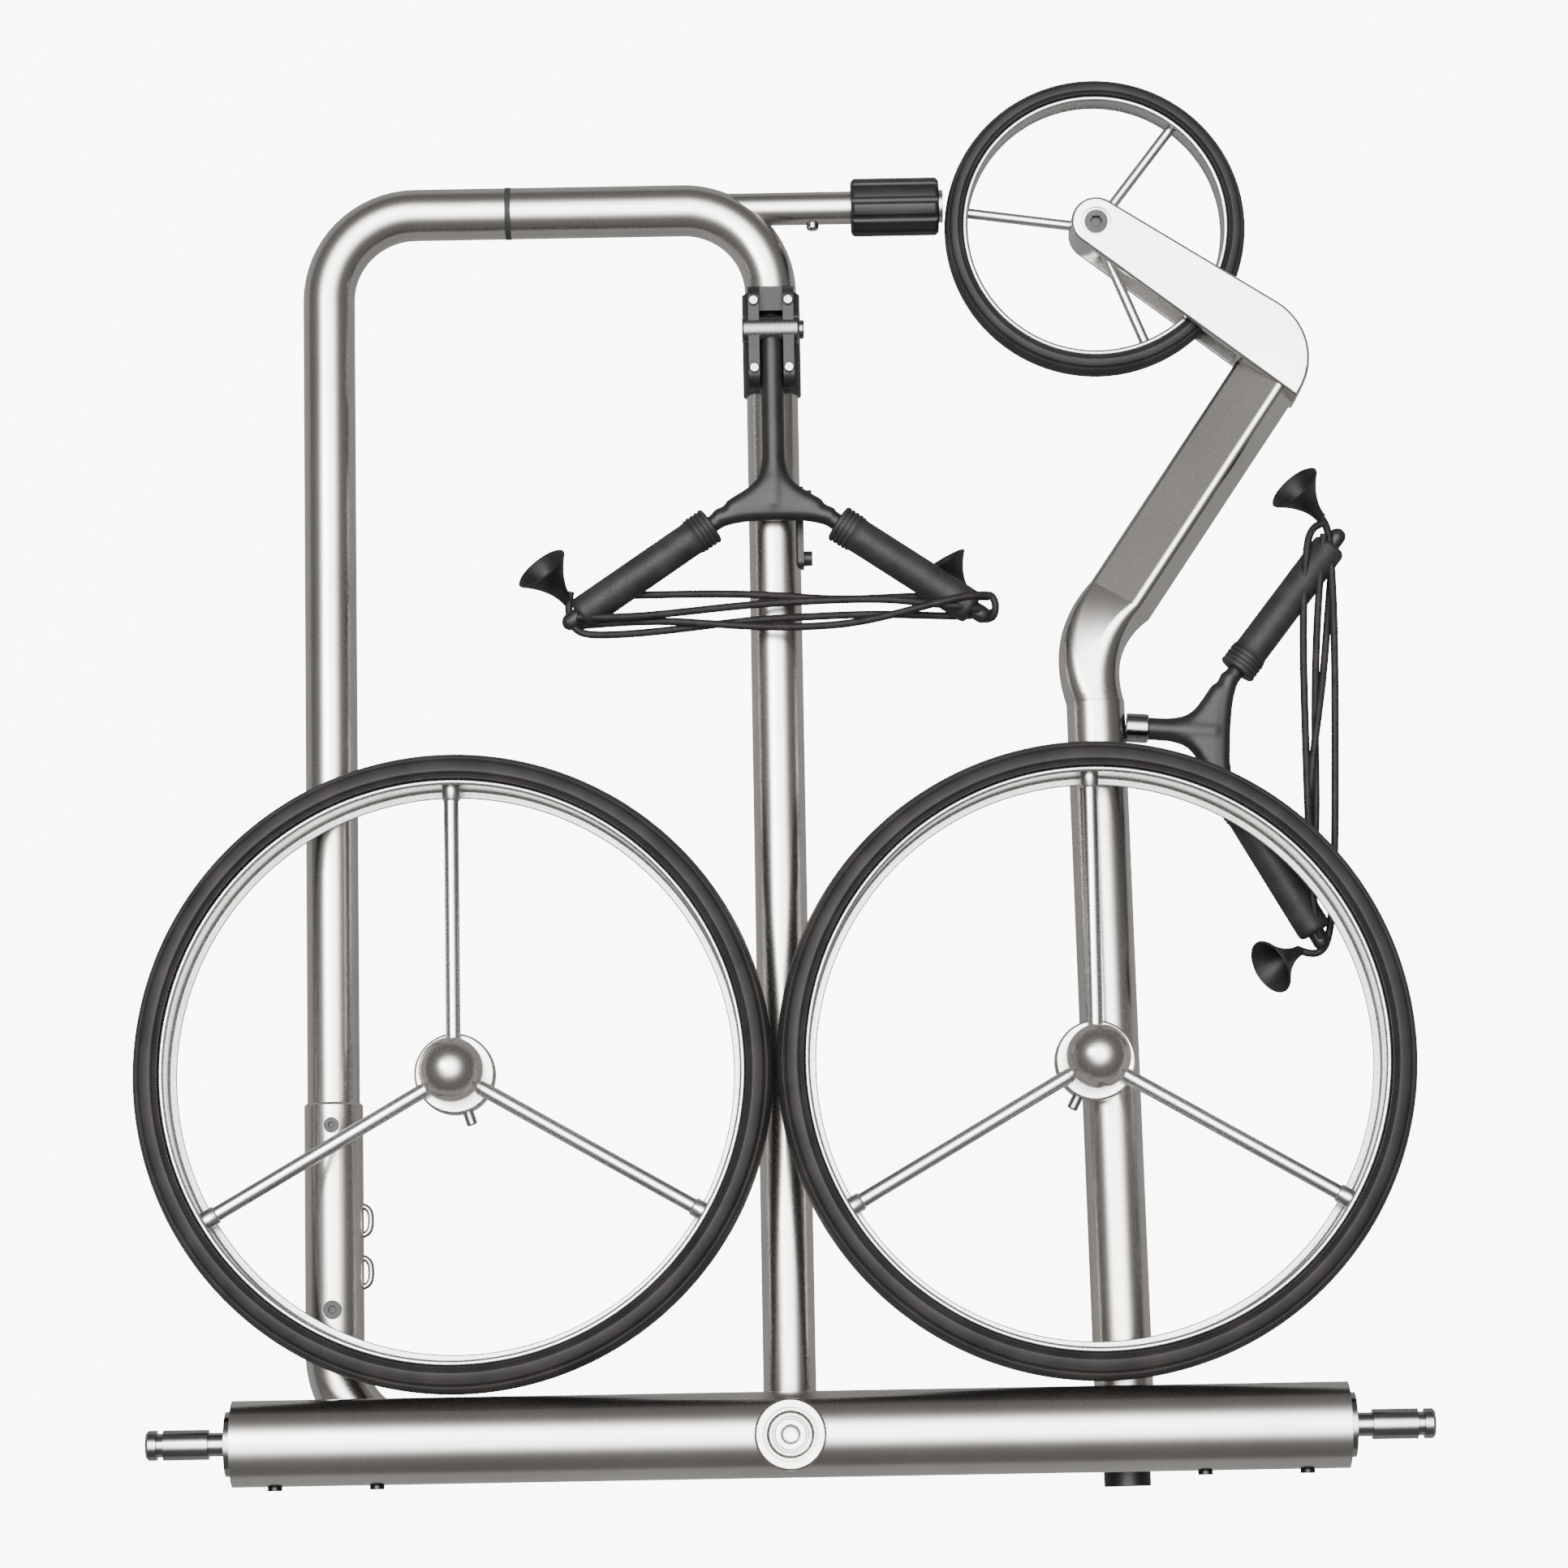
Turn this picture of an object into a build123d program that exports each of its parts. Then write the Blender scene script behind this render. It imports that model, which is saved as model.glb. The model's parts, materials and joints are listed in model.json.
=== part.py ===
"""A three-wheeled golf trolley, packed flat for the car boot.

Frame: +X right, +Y away from the axle towards the handle bends, +Z up from the surface it lies on.
The origin is at the bottom centre of the whole packed trolley.  Millimetres and degrees.
"""
import math
import os

from build123d import *

# ---- places: the axle tube crosses over the frame tubes, the loose wheels lie on top of them ----
AXLE_X = 3.0            # middle of the axle tube, and the centre tube's line
AXLE_Y = -312.5
AXLE_Z = 51.0
TUBE_Z = 14.2           # centre tube, cranked tube and handle
ARM_Z = 16.2            # front arm and front wheel
TOP_Y = AXLE_Y + 592.0  # level stretch of the cranked tube
LEG_X = AXLE_X - 214.5  # long leg of the handle
GRIP_Y = AXLE_Y         # level stretch of the handle, right under the axle tube
WHEEL_Z = 50.0          # mid plane of the two main wheels as they lie
LEFT_WHEEL = (AXLE_X - 155.0, AXLE_Y + 171.0)
RIGHT_WHEEL = (AXLE_X + 146.5, AXLE_Y + 172.0)

# ---- tubes ----
WALL = 1.5
FRAME_R = 12.5          # 25 mm frame tube
GRIP_R = 14.0           # 28 mm handle sleeve and front arm
AXLE_R = 20.0
AXLE_WALL = 3.0
AXLE_HALF = 259.0
BEND_R = 42.0           # centreline of the three bends
RUN = 0.05              # radial clearance of a running fit
JOINT_GAP = 0.4         # end gap between two tubes that turn on each other

# ---- wheels ----
WHEEL_R = 150.0
TYRE_H = 12.7
TYRE_HALF = 19.0
RIM_T = 3.2
REAR_LIP = 6.0          # how far the main rim's rear flange stands inward
SPOKE_R = 3.5
HUB_R = 15.0
COLLAR_R = 19.0
CORE_R = 10.0
STUB_R = 7.0
BORE_R = STUB_R + RUN
FRONT_R = 73.0
FRONT_TYRE_H = 8.2
FRONT_HALF = 10.0

os.makedirs("parts", exist_ok=True)


def save(part, name):
    """Label a finished piece and write it to its own file."""
    part.label = name
    export_step(part, "parts/" + name + ".step")


def along(p, q):
    """A plane at p that looks towards q."""
    return Plane(origin=p, z_dir=Vector(*q) - Vector(*p))


def gap(p, q):
    """Distance between two points."""
    return (Vector(*q) - Vector(*p)).length


# ================= root: axle, boss and centre tube =================
BOSS_R = 16.5
BOSS_LIP_R = 12.5
BOSS_TOP = 73.0
BOSS_SEAT = 60.0        # shoulder under the bolt head
SOCKET_DEPTH = 52.0
SOCKET_SEAT = 34.0      # relief groove above the working stretch of the socket
GROOVE_W = 1.5
GROOVE_DEEP = 0.8
SOCKET_R = GRIP_R + RUN
BOLT_SHANK_R = 5.0
BOLT_SHANK_LEN = 24.0
BOLT_HEAD_H = 5.0
BOLT_HEX = 3.8
SCREW_INSETS = (19.6, 67.0)     # from each end of the axle tube
SCREW_R = 2.0
SCREW_HEAD_R = 3.4
SCREW_HEAD_H = 1.9
SCREW_LEN = 14.0
INSERT_LEN = 80.0
INSERT_BORE_R = 5.0
AXLE_LINE = Plane(origin=(AXLE_X - AXLE_HALF, AXLE_Y, AXLE_Z), z_dir=(1, 0, 0))


def flank_spots(depth, radius):
    """Circles at the four axle screws, on an upright plane in front of the tube's middle by depth."""
    flank = Plane(origin=(AXLE_X, AXLE_Y - depth, AXLE_Z), x_dir=(1, 0, 0), z_dir=(0, -1, 0))
    with BuildSketch(flank) as spots:
        for side in (-1, 1):
            for inset in SCREW_INSETS:
                with Locations((side * (AXLE_HALF - inset), 0)):
                    Circle(radius)
    return spots.sketch


screw_holes = flank_spots(0.0, SCREW_R)
screw_shanks = flank_spots(AXLE_R, SCREW_R)
screw_heads = flank_spots(AXLE_R, SCREW_HEAD_R)

with BuildPart() as axle_tube:
    with BuildSketch(AXLE_LINE):
        Circle(AXLE_R)
        Circle(AXLE_R - AXLE_WALL, mode=Mode.SUBTRACT)
    extrude(amount=2 * AXLE_HALF)
    with BuildSketch(Plane(origin=(AXLE_X, AXLE_Y, 0))):
        Circle(BOSS_R)
    extrude(amount=BOSS_TOP, mode=Mode.SUBTRACT)
    extrude(screw_holes, amount=AXLE_R, mode=Mode.SUBTRACT)
save(axle_tube.part, "axle_tube")

with BuildPart() as cross_boss:
    with BuildSketch(Plane(origin=(AXLE_X, AXLE_Y, 0))):
        Circle(BOSS_R)
    extrude(amount=BOSS_TOP)
    chamfer(cross_boss.edges().filter_by(GeomType.CIRCLE), 0.8)
    with BuildSketch(Plane(origin=(AXLE_X, AXLE_Y, 0))):
        Circle(SOCKET_R)
    extrude(amount=SOCKET_DEPTH, mode=Mode.SUBTRACT)
    with BuildSketch(Plane(origin=(AXLE_X, AXLE_Y, SOCKET_SEAT))):
        Circle(SOCKET_R + GROOVE_DEEP)
    extrude(amount=GROOVE_W, mode=Mode.SUBTRACT)
    with BuildSketch(Plane(origin=(AXLE_X, AXLE_Y, 0))):
        Circle(BOLT_SHANK_R)
    extrude(amount=BOSS_TOP, mode=Mode.SUBTRACT)
    with BuildSketch(Plane(origin=(AXLE_X, AXLE_Y, BOSS_SEAT))):
        Circle(BOSS_LIP_R)
    extrude(amount=BOSS_TOP, mode=Mode.SUBTRACT)
save(cross_boss.part, "cross_boss")

with BuildPart() as boss_bolt:
    with BuildSketch(Plane(origin=(AXLE_X, AXLE_Y, BOSS_SEAT))):
        Circle(BOSS_LIP_R - 0.2)
    extrude(amount=BOLT_HEAD_H)
    chamfer(boss_bolt.edges().group_by(Axis.Z)[-1], 0.6)
    with BuildSketch(Plane(origin=(AXLE_X, AXLE_Y, BOSS_SEAT + BOLT_HEAD_H))):
        RegularPolygon(radius=BOLT_HEX, side_count=6, major_radius=False)
    extrude(amount=1.0 - BOLT_HEAD_H, mode=Mode.SUBTRACT)
    with BuildSketch(Plane(origin=(AXLE_X, AXLE_Y, BOSS_SEAT))):
        Circle(BOLT_SHANK_R)
    extrude(amount=-BOLT_SHANK_LEN)
save(boss_bolt.part, "boss_bolt")

SHANK_LEN = 26.0
FLANGE_R = 15.0
FLANGE_T = 3.0
NECK_R = 5.5
JOURNAL_FROM = 11.0     # beyond the end of the axle tube
JOURNAL_TO = 40.0
LATCH_AT = 32.0
LATCH_W = 3.0
STUB_STEPS = (
    (-SHANK_LEN, 0.0, INSERT_BORE_R),
    (0.0, FLANGE_T, FLANGE_R),
    (FLANGE_T, JOURNAL_FROM, NECK_R),
    (JOURNAL_FROM, JOURNAL_TO, STUB_R),
)
with BuildPart() as axle_inserts:
    for side in (-1, 1):
        end = Plane(origin=(AXLE_X + side * AXLE_HALF, AXLE_Y, AXLE_Z), z_dir=(-side, 0, 0))
        with BuildSketch(end):
            Circle(AXLE_R - AXLE_WALL)
            Circle(INSERT_BORE_R, mode=Mode.SUBTRACT)
        extrude(amount=INSERT_LEN)
    extrude(screw_holes, amount=AXLE_R, mode=Mode.SUBTRACT)
save(axle_inserts.part, "axle_inserts")


def stub_axle(side):
    """Quick-release wheel pin: flange, neck, ground journal with a latch groove, and a pressed shank."""
    base = Plane(origin=(AXLE_X + side * AXLE_HALF, AXLE_Y, AXLE_Z), x_dir=(0, 1, 0), z_dir=(side, 0, 0))
    with BuildPart() as stub:
        for start, stop, radius in STUB_STEPS:
            with BuildSketch(base.offset(start)):
                Circle(radius)
            extrude(amount=stop - start)
        with BuildSketch(base.offset(LATCH_AT)):
            Circle(STUB_R)
            Circle(STUB_R - 1.5, mode=Mode.SUBTRACT)
        extrude(amount=LATCH_W, mode=Mode.SUBTRACT)
        tip = stub.faces().sort_by(Axis.X)[-1 if side > 0 else 0]
        chamfer(tip.edges(), 1.2)
    return stub.part


save(stub_axle(-1), "stub_axle_left")
save(stub_axle(1), "stub_axle_right")

with BuildPart() as axle_screws:
    extrude(screw_shanks, amount=-SCREW_LEN)
    extrude(screw_heads, amount=SCREW_HEAD_H)
save(axle_screws.part, "axle_screws")

SWIVEL_Y = AXLE_Y + 520.0
BUSH_HALF = 28.0
BUSH_BORE_R = 8.0
with BuildPart() as centre_tube:
    with BuildSketch(Plane(origin=(AXLE_X, AXLE_Y, TUBE_Z), z_dir=(0, 1, 0))):
        Circle(FRAME_R)
        Circle(FRAME_R - WALL, mode=Mode.SUBTRACT)
    extrude(amount=SWIVEL_Y - AXLE_Y)
    with BuildSketch(Plane(origin=(AXLE_X, AXLE_Y, 0))):
        Circle(BOSS_R)
    extrude(amount=BOSS_TOP, mode=Mode.SUBTRACT)
save(centre_tube.part, "centre_tube")

with BuildPart() as swivel_bush:
    with BuildSketch(Plane(origin=(AXLE_X, SWIVEL_Y - BUSH_HALF, TUBE_Z), z_dir=(0, 1, 0))):
        Circle(FRAME_R - WALL)
        Circle(BUSH_BORE_R, mode=Mode.SUBTRACT)
    extrude(amount=BUSH_HALF)
    with BuildSketch(Plane(origin=(AXLE_X, SWIVEL_Y, TUBE_Z), z_dir=(0, 1, 0))):
        Circle(FRAME_R - WALL - RUN)
        Circle(BUSH_BORE_R, mode=Mode.SUBTRACT)
    extrude(amount=BUSH_HALF)
save(swivel_bush.part, "swivel_bush")

# ---- clamp round the swivel, with two cheeks that carry the upper yoke's hinge pin ----
CLAMP_LOW = AXLE_Y + 499.0
CLAMP_HIGH = AXLE_Y + 548.5
CLAMP_R = 15.5
CHEEK_IN = 5.6
CHEEK_T = 5.4
CHEEK_Z = 30.0          # middle and height of the cheeks
CHEEK_H = 24.0
CLAMP_TOP = CHEEK_Z + CHEEK_H / 2
YOKE_Z = 36.0
HINGE_Y = AXLE_Y + 527.0
PIN_R = 3.0
PIN_HEAD_R = 4.6
PIN_SLACK = 8.0         # slot left past the pin for the yoke's round eye
CLAMP_SCREW_R = 1.5
CLAMP_SCREW_LEN = 9.0
PAD_L = 12.0            # block that joins the cheeks at the handle end
MID_Y = (CLAMP_LOW + CLAMP_HIGH) / 2


def clamp_spots(radius):
    """Circles at the four screws on top of the clamp."""
    with BuildSketch(Plane(origin=(AXLE_X, MID_Y, CLAMP_TOP))) as spots:
        with GridLocations(16.6, 33.0, 2, 2):
            Circle(radius)
    return spots.sketch


clamp_holes = clamp_spots(CLAMP_SCREW_R)
clamp_heads = clamp_spots(CLAMP_SCREW_R + 1.0)

with BuildPart() as yoke_clamp:
    with BuildSketch(Plane(origin=(AXLE_X, CLAMP_LOW, TUBE_Z), z_dir=(0, 1, 0))):
        Circle(CLAMP_R - 1.5)
    extrude(amount=CLAMP_HIGH - CLAMP_LOW)
    for side in (-1, 1):
        with BuildSketch(Plane(origin=(AXLE_X + side * CHEEK_IN, 0, 0), x_dir=(0, 1, 0), z_dir=(side, 0, 0))):
            with Locations((MID_Y, side * CHEEK_Z)):
                RectangleRounded(CLAMP_HIGH - CLAMP_LOW, CHEEK_H, 7.0)
        extrude(amount=CHEEK_T)
    with BuildSketch(Plane(origin=(AXLE_X, (CLAMP_LOW + HINGE_Y + PIN_SLACK) / 2, TUBE_Z + FRAME_R + 0.2))):
        Rectangle(2 * CHEEK_IN, HINGE_Y + PIN_SLACK - CLAMP_LOW + 1.0)
    extrude(amount=CLAMP_TOP, mode=Mode.SUBTRACT)
    with BuildSketch(Plane(origin=(AXLE_X, CLAMP_HIGH - PAD_L / 2, TUBE_Z + 8.0))):
        RectangleRounded(20.0, PAD_L, 2.0)
    extrude(amount=PAD_L + 2.0)
    with BuildSketch(Plane(origin=(AXLE_X, CLAMP_LOW, TUBE_Z), z_dir=(0, 1, 0))):
        Circle(FRAME_R)
    extrude(amount=SWIVEL_Y - CLAMP_LOW, mode=Mode.SUBTRACT)
    with BuildSketch(Plane(origin=(AXLE_X, SWIVEL_Y, TUBE_Z), z_dir=(0, 1, 0))):
        Circle(FRAME_R + RUN)
    extrude(amount=CLAMP_HIGH - SWIVEL_Y, mode=Mode.SUBTRACT)
    with BuildSketch(Plane(origin=(AXLE_X - 20.0, HINGE_Y, YOKE_Z), z_dir=(1, 0, 0))):
        Circle(PIN_R)
    extrude(amount=40.0, mode=Mode.SUBTRACT)
    extrude(clamp_holes, amount=-CLAMP_SCREW_LEN, mode=Mode.SUBTRACT)
save(yoke_clamp.part, "yoke_clamp")

with BuildPart() as clamp_screws:
    extrude(clamp_holes, amount=-CLAMP_SCREW_LEN)
    extrude(clamp_heads, amount=1.8)
    chamfer(clamp_screws.edges().group_by(Axis.Z)[-1], 0.5)
save(clamp_screws.part, "clamp_screws")

with BuildPart() as yoke_hinge_pin:
    with BuildSketch(Plane(origin=(AXLE_X - 14.0, HINGE_Y, YOKE_Z), z_dir=(1, 0, 0))):
        Circle(PIN_R)
    extrude(amount=28.0)
    with BuildSketch(Plane(origin=(AXLE_X - 14.0, HINGE_Y, YOKE_Z), z_dir=(1, 0, 0))):
        Circle(PIN_HEAD_R)
    extrude(amount=2.8)
    with BuildSketch(Plane(origin=(AXLE_X + 11.2, HINGE_Y, YOKE_Z), z_dir=(1, 0, 0))):
        Circle(PIN_HEAD_R)
    extrude(amount=4.6)
    fillet(yoke_hinge_pin.edges().group_by(Axis.X)[-1], 2.2)
save(yoke_hinge_pin.part, "yoke_hinge_pin")

# ---- small spring clip on the centre tube's right flank that holds the packed front arm ----
CLIP_Y = AXLE_Y + 434.0
CLIP_HALF = 20.0
CLIP_OUT = 14.0         # outer face of the clip from the tube's line
with BuildPart() as parking_clip:
    with BuildSketch(Plane(origin=(AXLE_X + CLIP_OUT, CLIP_Y, TUBE_Z), x_dir=(0, 1, 0), z_dir=(-1, 0, 0))):
        RectangleRounded(2 * CLIP_HALF, 12.0, 3.0)
    extrude(amount=6.0)
    with BuildSketch(Plane(origin=(AXLE_X + CLIP_OUT, CLIP_Y, TUBE_Z), x_dir=(0, 1, 0), z_dir=(1, 0, 0))):
        with GridLocations(30.0, 0, 2, 1):
            Circle(3.6)
    extrude(amount=4.0)
    with BuildSketch(Plane(origin=(AXLE_X, CLIP_Y - CLIP_HALF, TUBE_Z), z_dir=(0, 1, 0))):
        Circle(FRAME_R)
    extrude(amount=2 * CLIP_HALF, mode=Mode.SUBTRACT)
save(parking_clip.part, "parking_clip")

# ================= cranked tube: swivels on the centre tube =================
RING_X = AXLE_X - 127.0
RING_T = 2.0
SPIGOT_HALF = 26.0
HOLDER_R = 8.0
KNOB_X0 = AXLE_X + 39.7
KNOB_X1 = AXLE_X + 82.5
KNOB_R = 14.1
BUTTON_X = AXLE_X + 21.0
BUTTON_R = 3.0
HOLDER_X = AXLE_X - BEND_R + 18.0       # where the thin tube starts inside the bend

with BuildPart() as crank_tube:
    with BuildLine() as crank_path:
        Line((AXLE_X, SWIVEL_Y + JOINT_GAP, TUBE_Z), (AXLE_X, TOP_Y - BEND_R, TUBE_Z))
        RadiusArc((AXLE_X, TOP_Y - BEND_R, TUBE_Z), (AXLE_X - BEND_R, TOP_Y, TUBE_Z), -BEND_R)
        Line((AXLE_X - BEND_R, TOP_Y, TUBE_Z), (RING_X + RING_T / 2, TOP_Y, TUBE_Z))
    with BuildSketch(Plane(origin=(AXLE_X, SWIVEL_Y + JOINT_GAP, TUBE_Z), z_dir=(0, 1, 0))):
        Circle(FRAME_R)
        Circle(FRAME_R - WALL, mode=Mode.SUBTRACT)
    sweep(path=crank_path.line)
    with BuildSketch(Plane(origin=(HOLDER_X, TOP_Y, TUBE_Z), z_dir=(1, 0, 0))):
        Circle(HOLDER_R)
    extrude(amount=60.0, mode=Mode.SUBTRACT)
save(crank_tube.part, "crank_tube")

with BuildPart() as holder_tube:
    with BuildSketch(Plane(origin=(HOLDER_X, TOP_Y, TUBE_Z), z_dir=(1, 0, 0))):
        Circle(HOLDER_R)
        Circle(HOLDER_R - WALL, mode=Mode.SUBTRACT)
    extrude(amount=KNOB_X1 + 2.0 - HOLDER_X)
    with BuildSketch(Plane(origin=(BUTTON_X, TOP_Y, TUBE_Z), z_dir=(0, -1, 0))):
        Circle(BUTTON_R + RUN)
    extrude(amount=12.0, mode=Mode.SUBTRACT)
save(holder_tube.part, "holder_tube")

with BuildPart() as snap_button:
    with BuildSketch(Plane(origin=(BUTTON_X, TOP_Y - 3.5, TUBE_Z), z_dir=(0, -1, 0))):
        Circle(BUTTON_R)
    extrude(amount=7.5)
    fillet(snap_button.edges().group_by(Axis.Y)[0], 1.5)
save(snap_button.part, "snap_button")

with BuildPart() as joint_spigot:
    with BuildSketch(Plane(origin=(RING_X, TOP_Y, TUBE_Z), z_dir=(1, 0, 0))):
        Circle(FRAME_R - WALL)
        Circle(BUSH_BORE_R, mode=Mode.SUBTRACT)
    extrude(amount=SPIGOT_HALF)
    with BuildSketch(Plane(origin=(RING_X, TOP_Y, TUBE_Z), z_dir=(-1, 0, 0))):
        Circle(FRAME_R - WALL - RUN)
        Circle(BUSH_BORE_R, mode=Mode.SUBTRACT)
    extrude(amount=SPIGOT_HALF)
save(joint_spigot.part, "joint_spigot")

with BuildPart() as joint_ring:
    with BuildSketch(Plane(origin=(RING_X - RING_T / 2 + 0.1, TOP_Y, TUBE_Z), z_dir=(1, 0, 0))):
        Circle(FRAME_R - 0.5)
        Circle(FRAME_R - WALL, mode=Mode.SUBTRACT)
    extrude(amount=RING_T - 0.1)
save(joint_ring.part, "joint_ring")

KNOB_FLUTES = 10
with BuildPart() as clamp_knob:
    with BuildSketch(Plane(origin=(KNOB_X0, TOP_Y, TUBE_Z), z_dir=(1, 0, 0))):
        Circle(KNOB_R)
    extrude(amount=KNOB_X1 - KNOB_X0)
    fillet(clamp_knob.edges().filter_by(GeomType.CIRCLE), 2.5)
    with BuildSketch(Plane(origin=(KNOB_X0, TOP_Y, TUBE_Z), z_dir=(1, 0, 0))):
        with PolarLocations(KNOB_R + 1.4, KNOB_FLUTES):
            Circle(2.4)
    extrude(amount=KNOB_X1 - KNOB_X0, mode=Mode.SUBTRACT)
    with BuildSketch(Plane(origin=(KNOB_X0, TOP_Y, TUBE_Z), z_dir=(1, 0, 0))):
        Circle(HOLDER_R + RUN)
    extrude(amount=60.0, mode=Mode.SUBTRACT)
save(clamp_knob.part, "clamp_knob")

# ================= handle: turns on the cranked tube's spigot =================
SLEEVE_Y = AXLE_Y + 160.0
GRIP_X0 = LEG_X + BEND_R + 6.0
GRIP_X1 = AXLE_X - 60.0
GRIP_BORE_R = GRIP_R - 3.0
CORE_BORE_R = GRIP_R - 4.5

with BuildPart() as handle_tube:
    with BuildLine() as handle_path:
        Line((RING_X - RING_T / 2, TOP_Y, TUBE_Z), (LEG_X + BEND_R, TOP_Y, TUBE_Z))
        RadiusArc((LEG_X + BEND_R, TOP_Y, TUBE_Z), (LEG_X, TOP_Y - BEND_R, TUBE_Z), -BEND_R)
        Line((LEG_X, TOP_Y - BEND_R, TUBE_Z), (LEG_X, GRIP_Y + BEND_R + 2.0, TUBE_Z))
    with BuildSketch(Plane(origin=(RING_X - RING_T / 2, TOP_Y, TUBE_Z), z_dir=(-1, 0, 0))):
        Circle(FRAME_R)
        Circle(FRAME_R - WALL, mode=Mode.SUBTRACT)
    sweep(path=handle_path.line)
save(handle_tube.part, "handle_tube")

HANDLE_SCREWS = ((AXLE_Y + 149.0, 2.6), (AXLE_Y + 62.0, 3.4))      # place and size of each
with BuildPart() as handle_sleeve:
    with BuildLine() as sleeve_path:
        Line((LEG_X, SLEEVE_Y, TUBE_Z), (LEG_X, GRIP_Y + BEND_R, TUBE_Z))
        RadiusArc((LEG_X, GRIP_Y + BEND_R, TUBE_Z), (LEG_X + BEND_R, GRIP_Y, TUBE_Z), -BEND_R)
        Line((LEG_X + BEND_R, GRIP_Y, TUBE_Z), (GRIP_X0, GRIP_Y, TUBE_Z))
    with BuildSketch(Plane(origin=(LEG_X, SLEEVE_Y, TUBE_Z), z_dir=(0, -1, 0))):
        Circle(GRIP_R)
        Circle(FRAME_R, mode=Mode.SUBTRACT)
    sweep(path=sleeve_path.line)
    sleeve_mouth = handle_sleeve.edges().filter_by(GeomType.CIRCLE).group_by(Axis.Y)[-1]
    chamfer(sleeve_mouth.sort_by(SortBy.RADIUS)[-1], 1.2)
    for screw_y, screw_r in HANDLE_SCREWS:
        with BuildSketch(Plane(origin=(LEG_X, screw_y, TUBE_Z + GRIP_R + 1.0))):
            Circle(screw_r + 1.0)
        extrude(amount=-2.2, mode=Mode.SUBTRACT)
save(handle_sleeve.part, "handle_sleeve")

with BuildPart() as handle_screws:
    for screw_y, screw_r in HANDLE_SCREWS:
        with BuildSketch(Plane(origin=(LEG_X, screw_y, TUBE_Z + GRIP_R - 1.2))):
            Circle(screw_r + 1.0)
        extrude(amount=1.3)
        with BuildSketch(Plane(origin=(LEG_X, screw_y, TUBE_Z + GRIP_R + 0.1))):
            RegularPolygon(radius=screw_r / 2, side_count=6, major_radius=False)
        extrude(amount=-1.0, mode=Mode.SUBTRACT)
save(handle_screws.part, "handle_screws")

LOOP_YS = (AXLE_Y + 104.5, AXLE_Y + 79.5)
LOOP_T = 3.0
with BuildPart() as strap_loops:
    for loop_y in LOOP_YS:
        with BuildSketch(Plane(origin=(LEG_X + GRIP_R - 2.0, loop_y, TUBE_Z - LOOP_T / 2))):
            SlotOverall(15.0, 13.0, rotation=90)
            SlotOverall(9.6, 7.0, rotation=90, mode=Mode.SUBTRACT)
        extrude(amount=LOOP_T)
    with BuildSketch(Plane(origin=(LEG_X, SLEEVE_Y, TUBE_Z), z_dir=(0, -1, 0))):
        Circle(GRIP_R)
    extrude(amount=120.0, mode=Mode.SUBTRACT)
save(strap_loops.part, "strap_loops")

with BuildPart() as hand_grip:
    with BuildSketch(Plane(origin=(GRIP_X0, GRIP_Y, TUBE_Z), z_dir=(1, 0, 0))):
        Circle(GRIP_R)
        Circle(GRIP_BORE_R, mode=Mode.SUBTRACT)
    extrude(amount=GRIP_X1 - GRIP_X0)
    grip_end = hand_grip.edges().filter_by(GeomType.CIRCLE).group_by(Axis.X)[-1]
    chamfer(grip_end.sort_by(SortBy.RADIUS)[-1], 1.5)
save(hand_grip.part, "hand_grip")

with BuildPart() as grip_core:
    with BuildSketch(Plane(origin=(GRIP_X0, GRIP_Y, TUBE_Z), z_dir=(-1, 0, 0))):
        Circle(FRAME_R)
        Circle(CORE_BORE_R, mode=Mode.SUBTRACT)
    extrude(amount=6.0)
    with BuildSketch(Plane(origin=(GRIP_X0, GRIP_Y, TUBE_Z), z_dir=(1, 0, 0))):
        Circle(GRIP_BORE_R)
        Circle(CORE_BORE_R, mode=Mode.SUBTRACT)
    extrude(amount=GRIP_X1 - GRIP_X0)
save(grip_core.part, "grip_core")

with BuildPart() as grip_cap:
    with BuildSketch(Plane(origin=(GRIP_X1, GRIP_Y, TUBE_Z), z_dir=(1, 0, 0))):
        Circle(12.4)
    extrude(amount=4.0)
    fillet(grip_cap.edges().group_by(Axis.X)[-1], 2.5)
    with BuildSketch(Plane(origin=(GRIP_X1, GRIP_Y, TUBE_Z), z_dir=(-1, 0, 0))):
        Circle(CORE_BORE_R)
    extrude(amount=10.0)
save(grip_cap.part, "grip_cap")

# ================= bag yokes =================
YOKE_STEM_R = 5.0
YOKE_NECK_R = 4.2
YOKE_GRIP_R = 7.75
YOKE_ARM_ROOT = 74.3    # along the stem, where the two arms' lines meet
YOKE_ARM_ANGLE = 56.0   # each arm from the stem's line
YOKE_ARM_LEN = 118.5
YOKE_GRIP_FROM = 37.0
YOKE_GRIP_TO = 108.0
WEB_T = 7.0             # thickness of the web between stem and arms
WEB_REACH = 26.0        # how far it runs along each arm
WEB_START = 14.0        # and back along the stem
WEB_ARCH = 21.0         # edge of the web between the arms
CORD_R = 1.8


def yoke_arm(side):
    """Direction of one yoke arm in the yoke's own plane."""
    angle = math.radians(YOKE_ARM_ANGLE) * side
    return Vector(math.cos(angle), math.sin(angle), 0)


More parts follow.
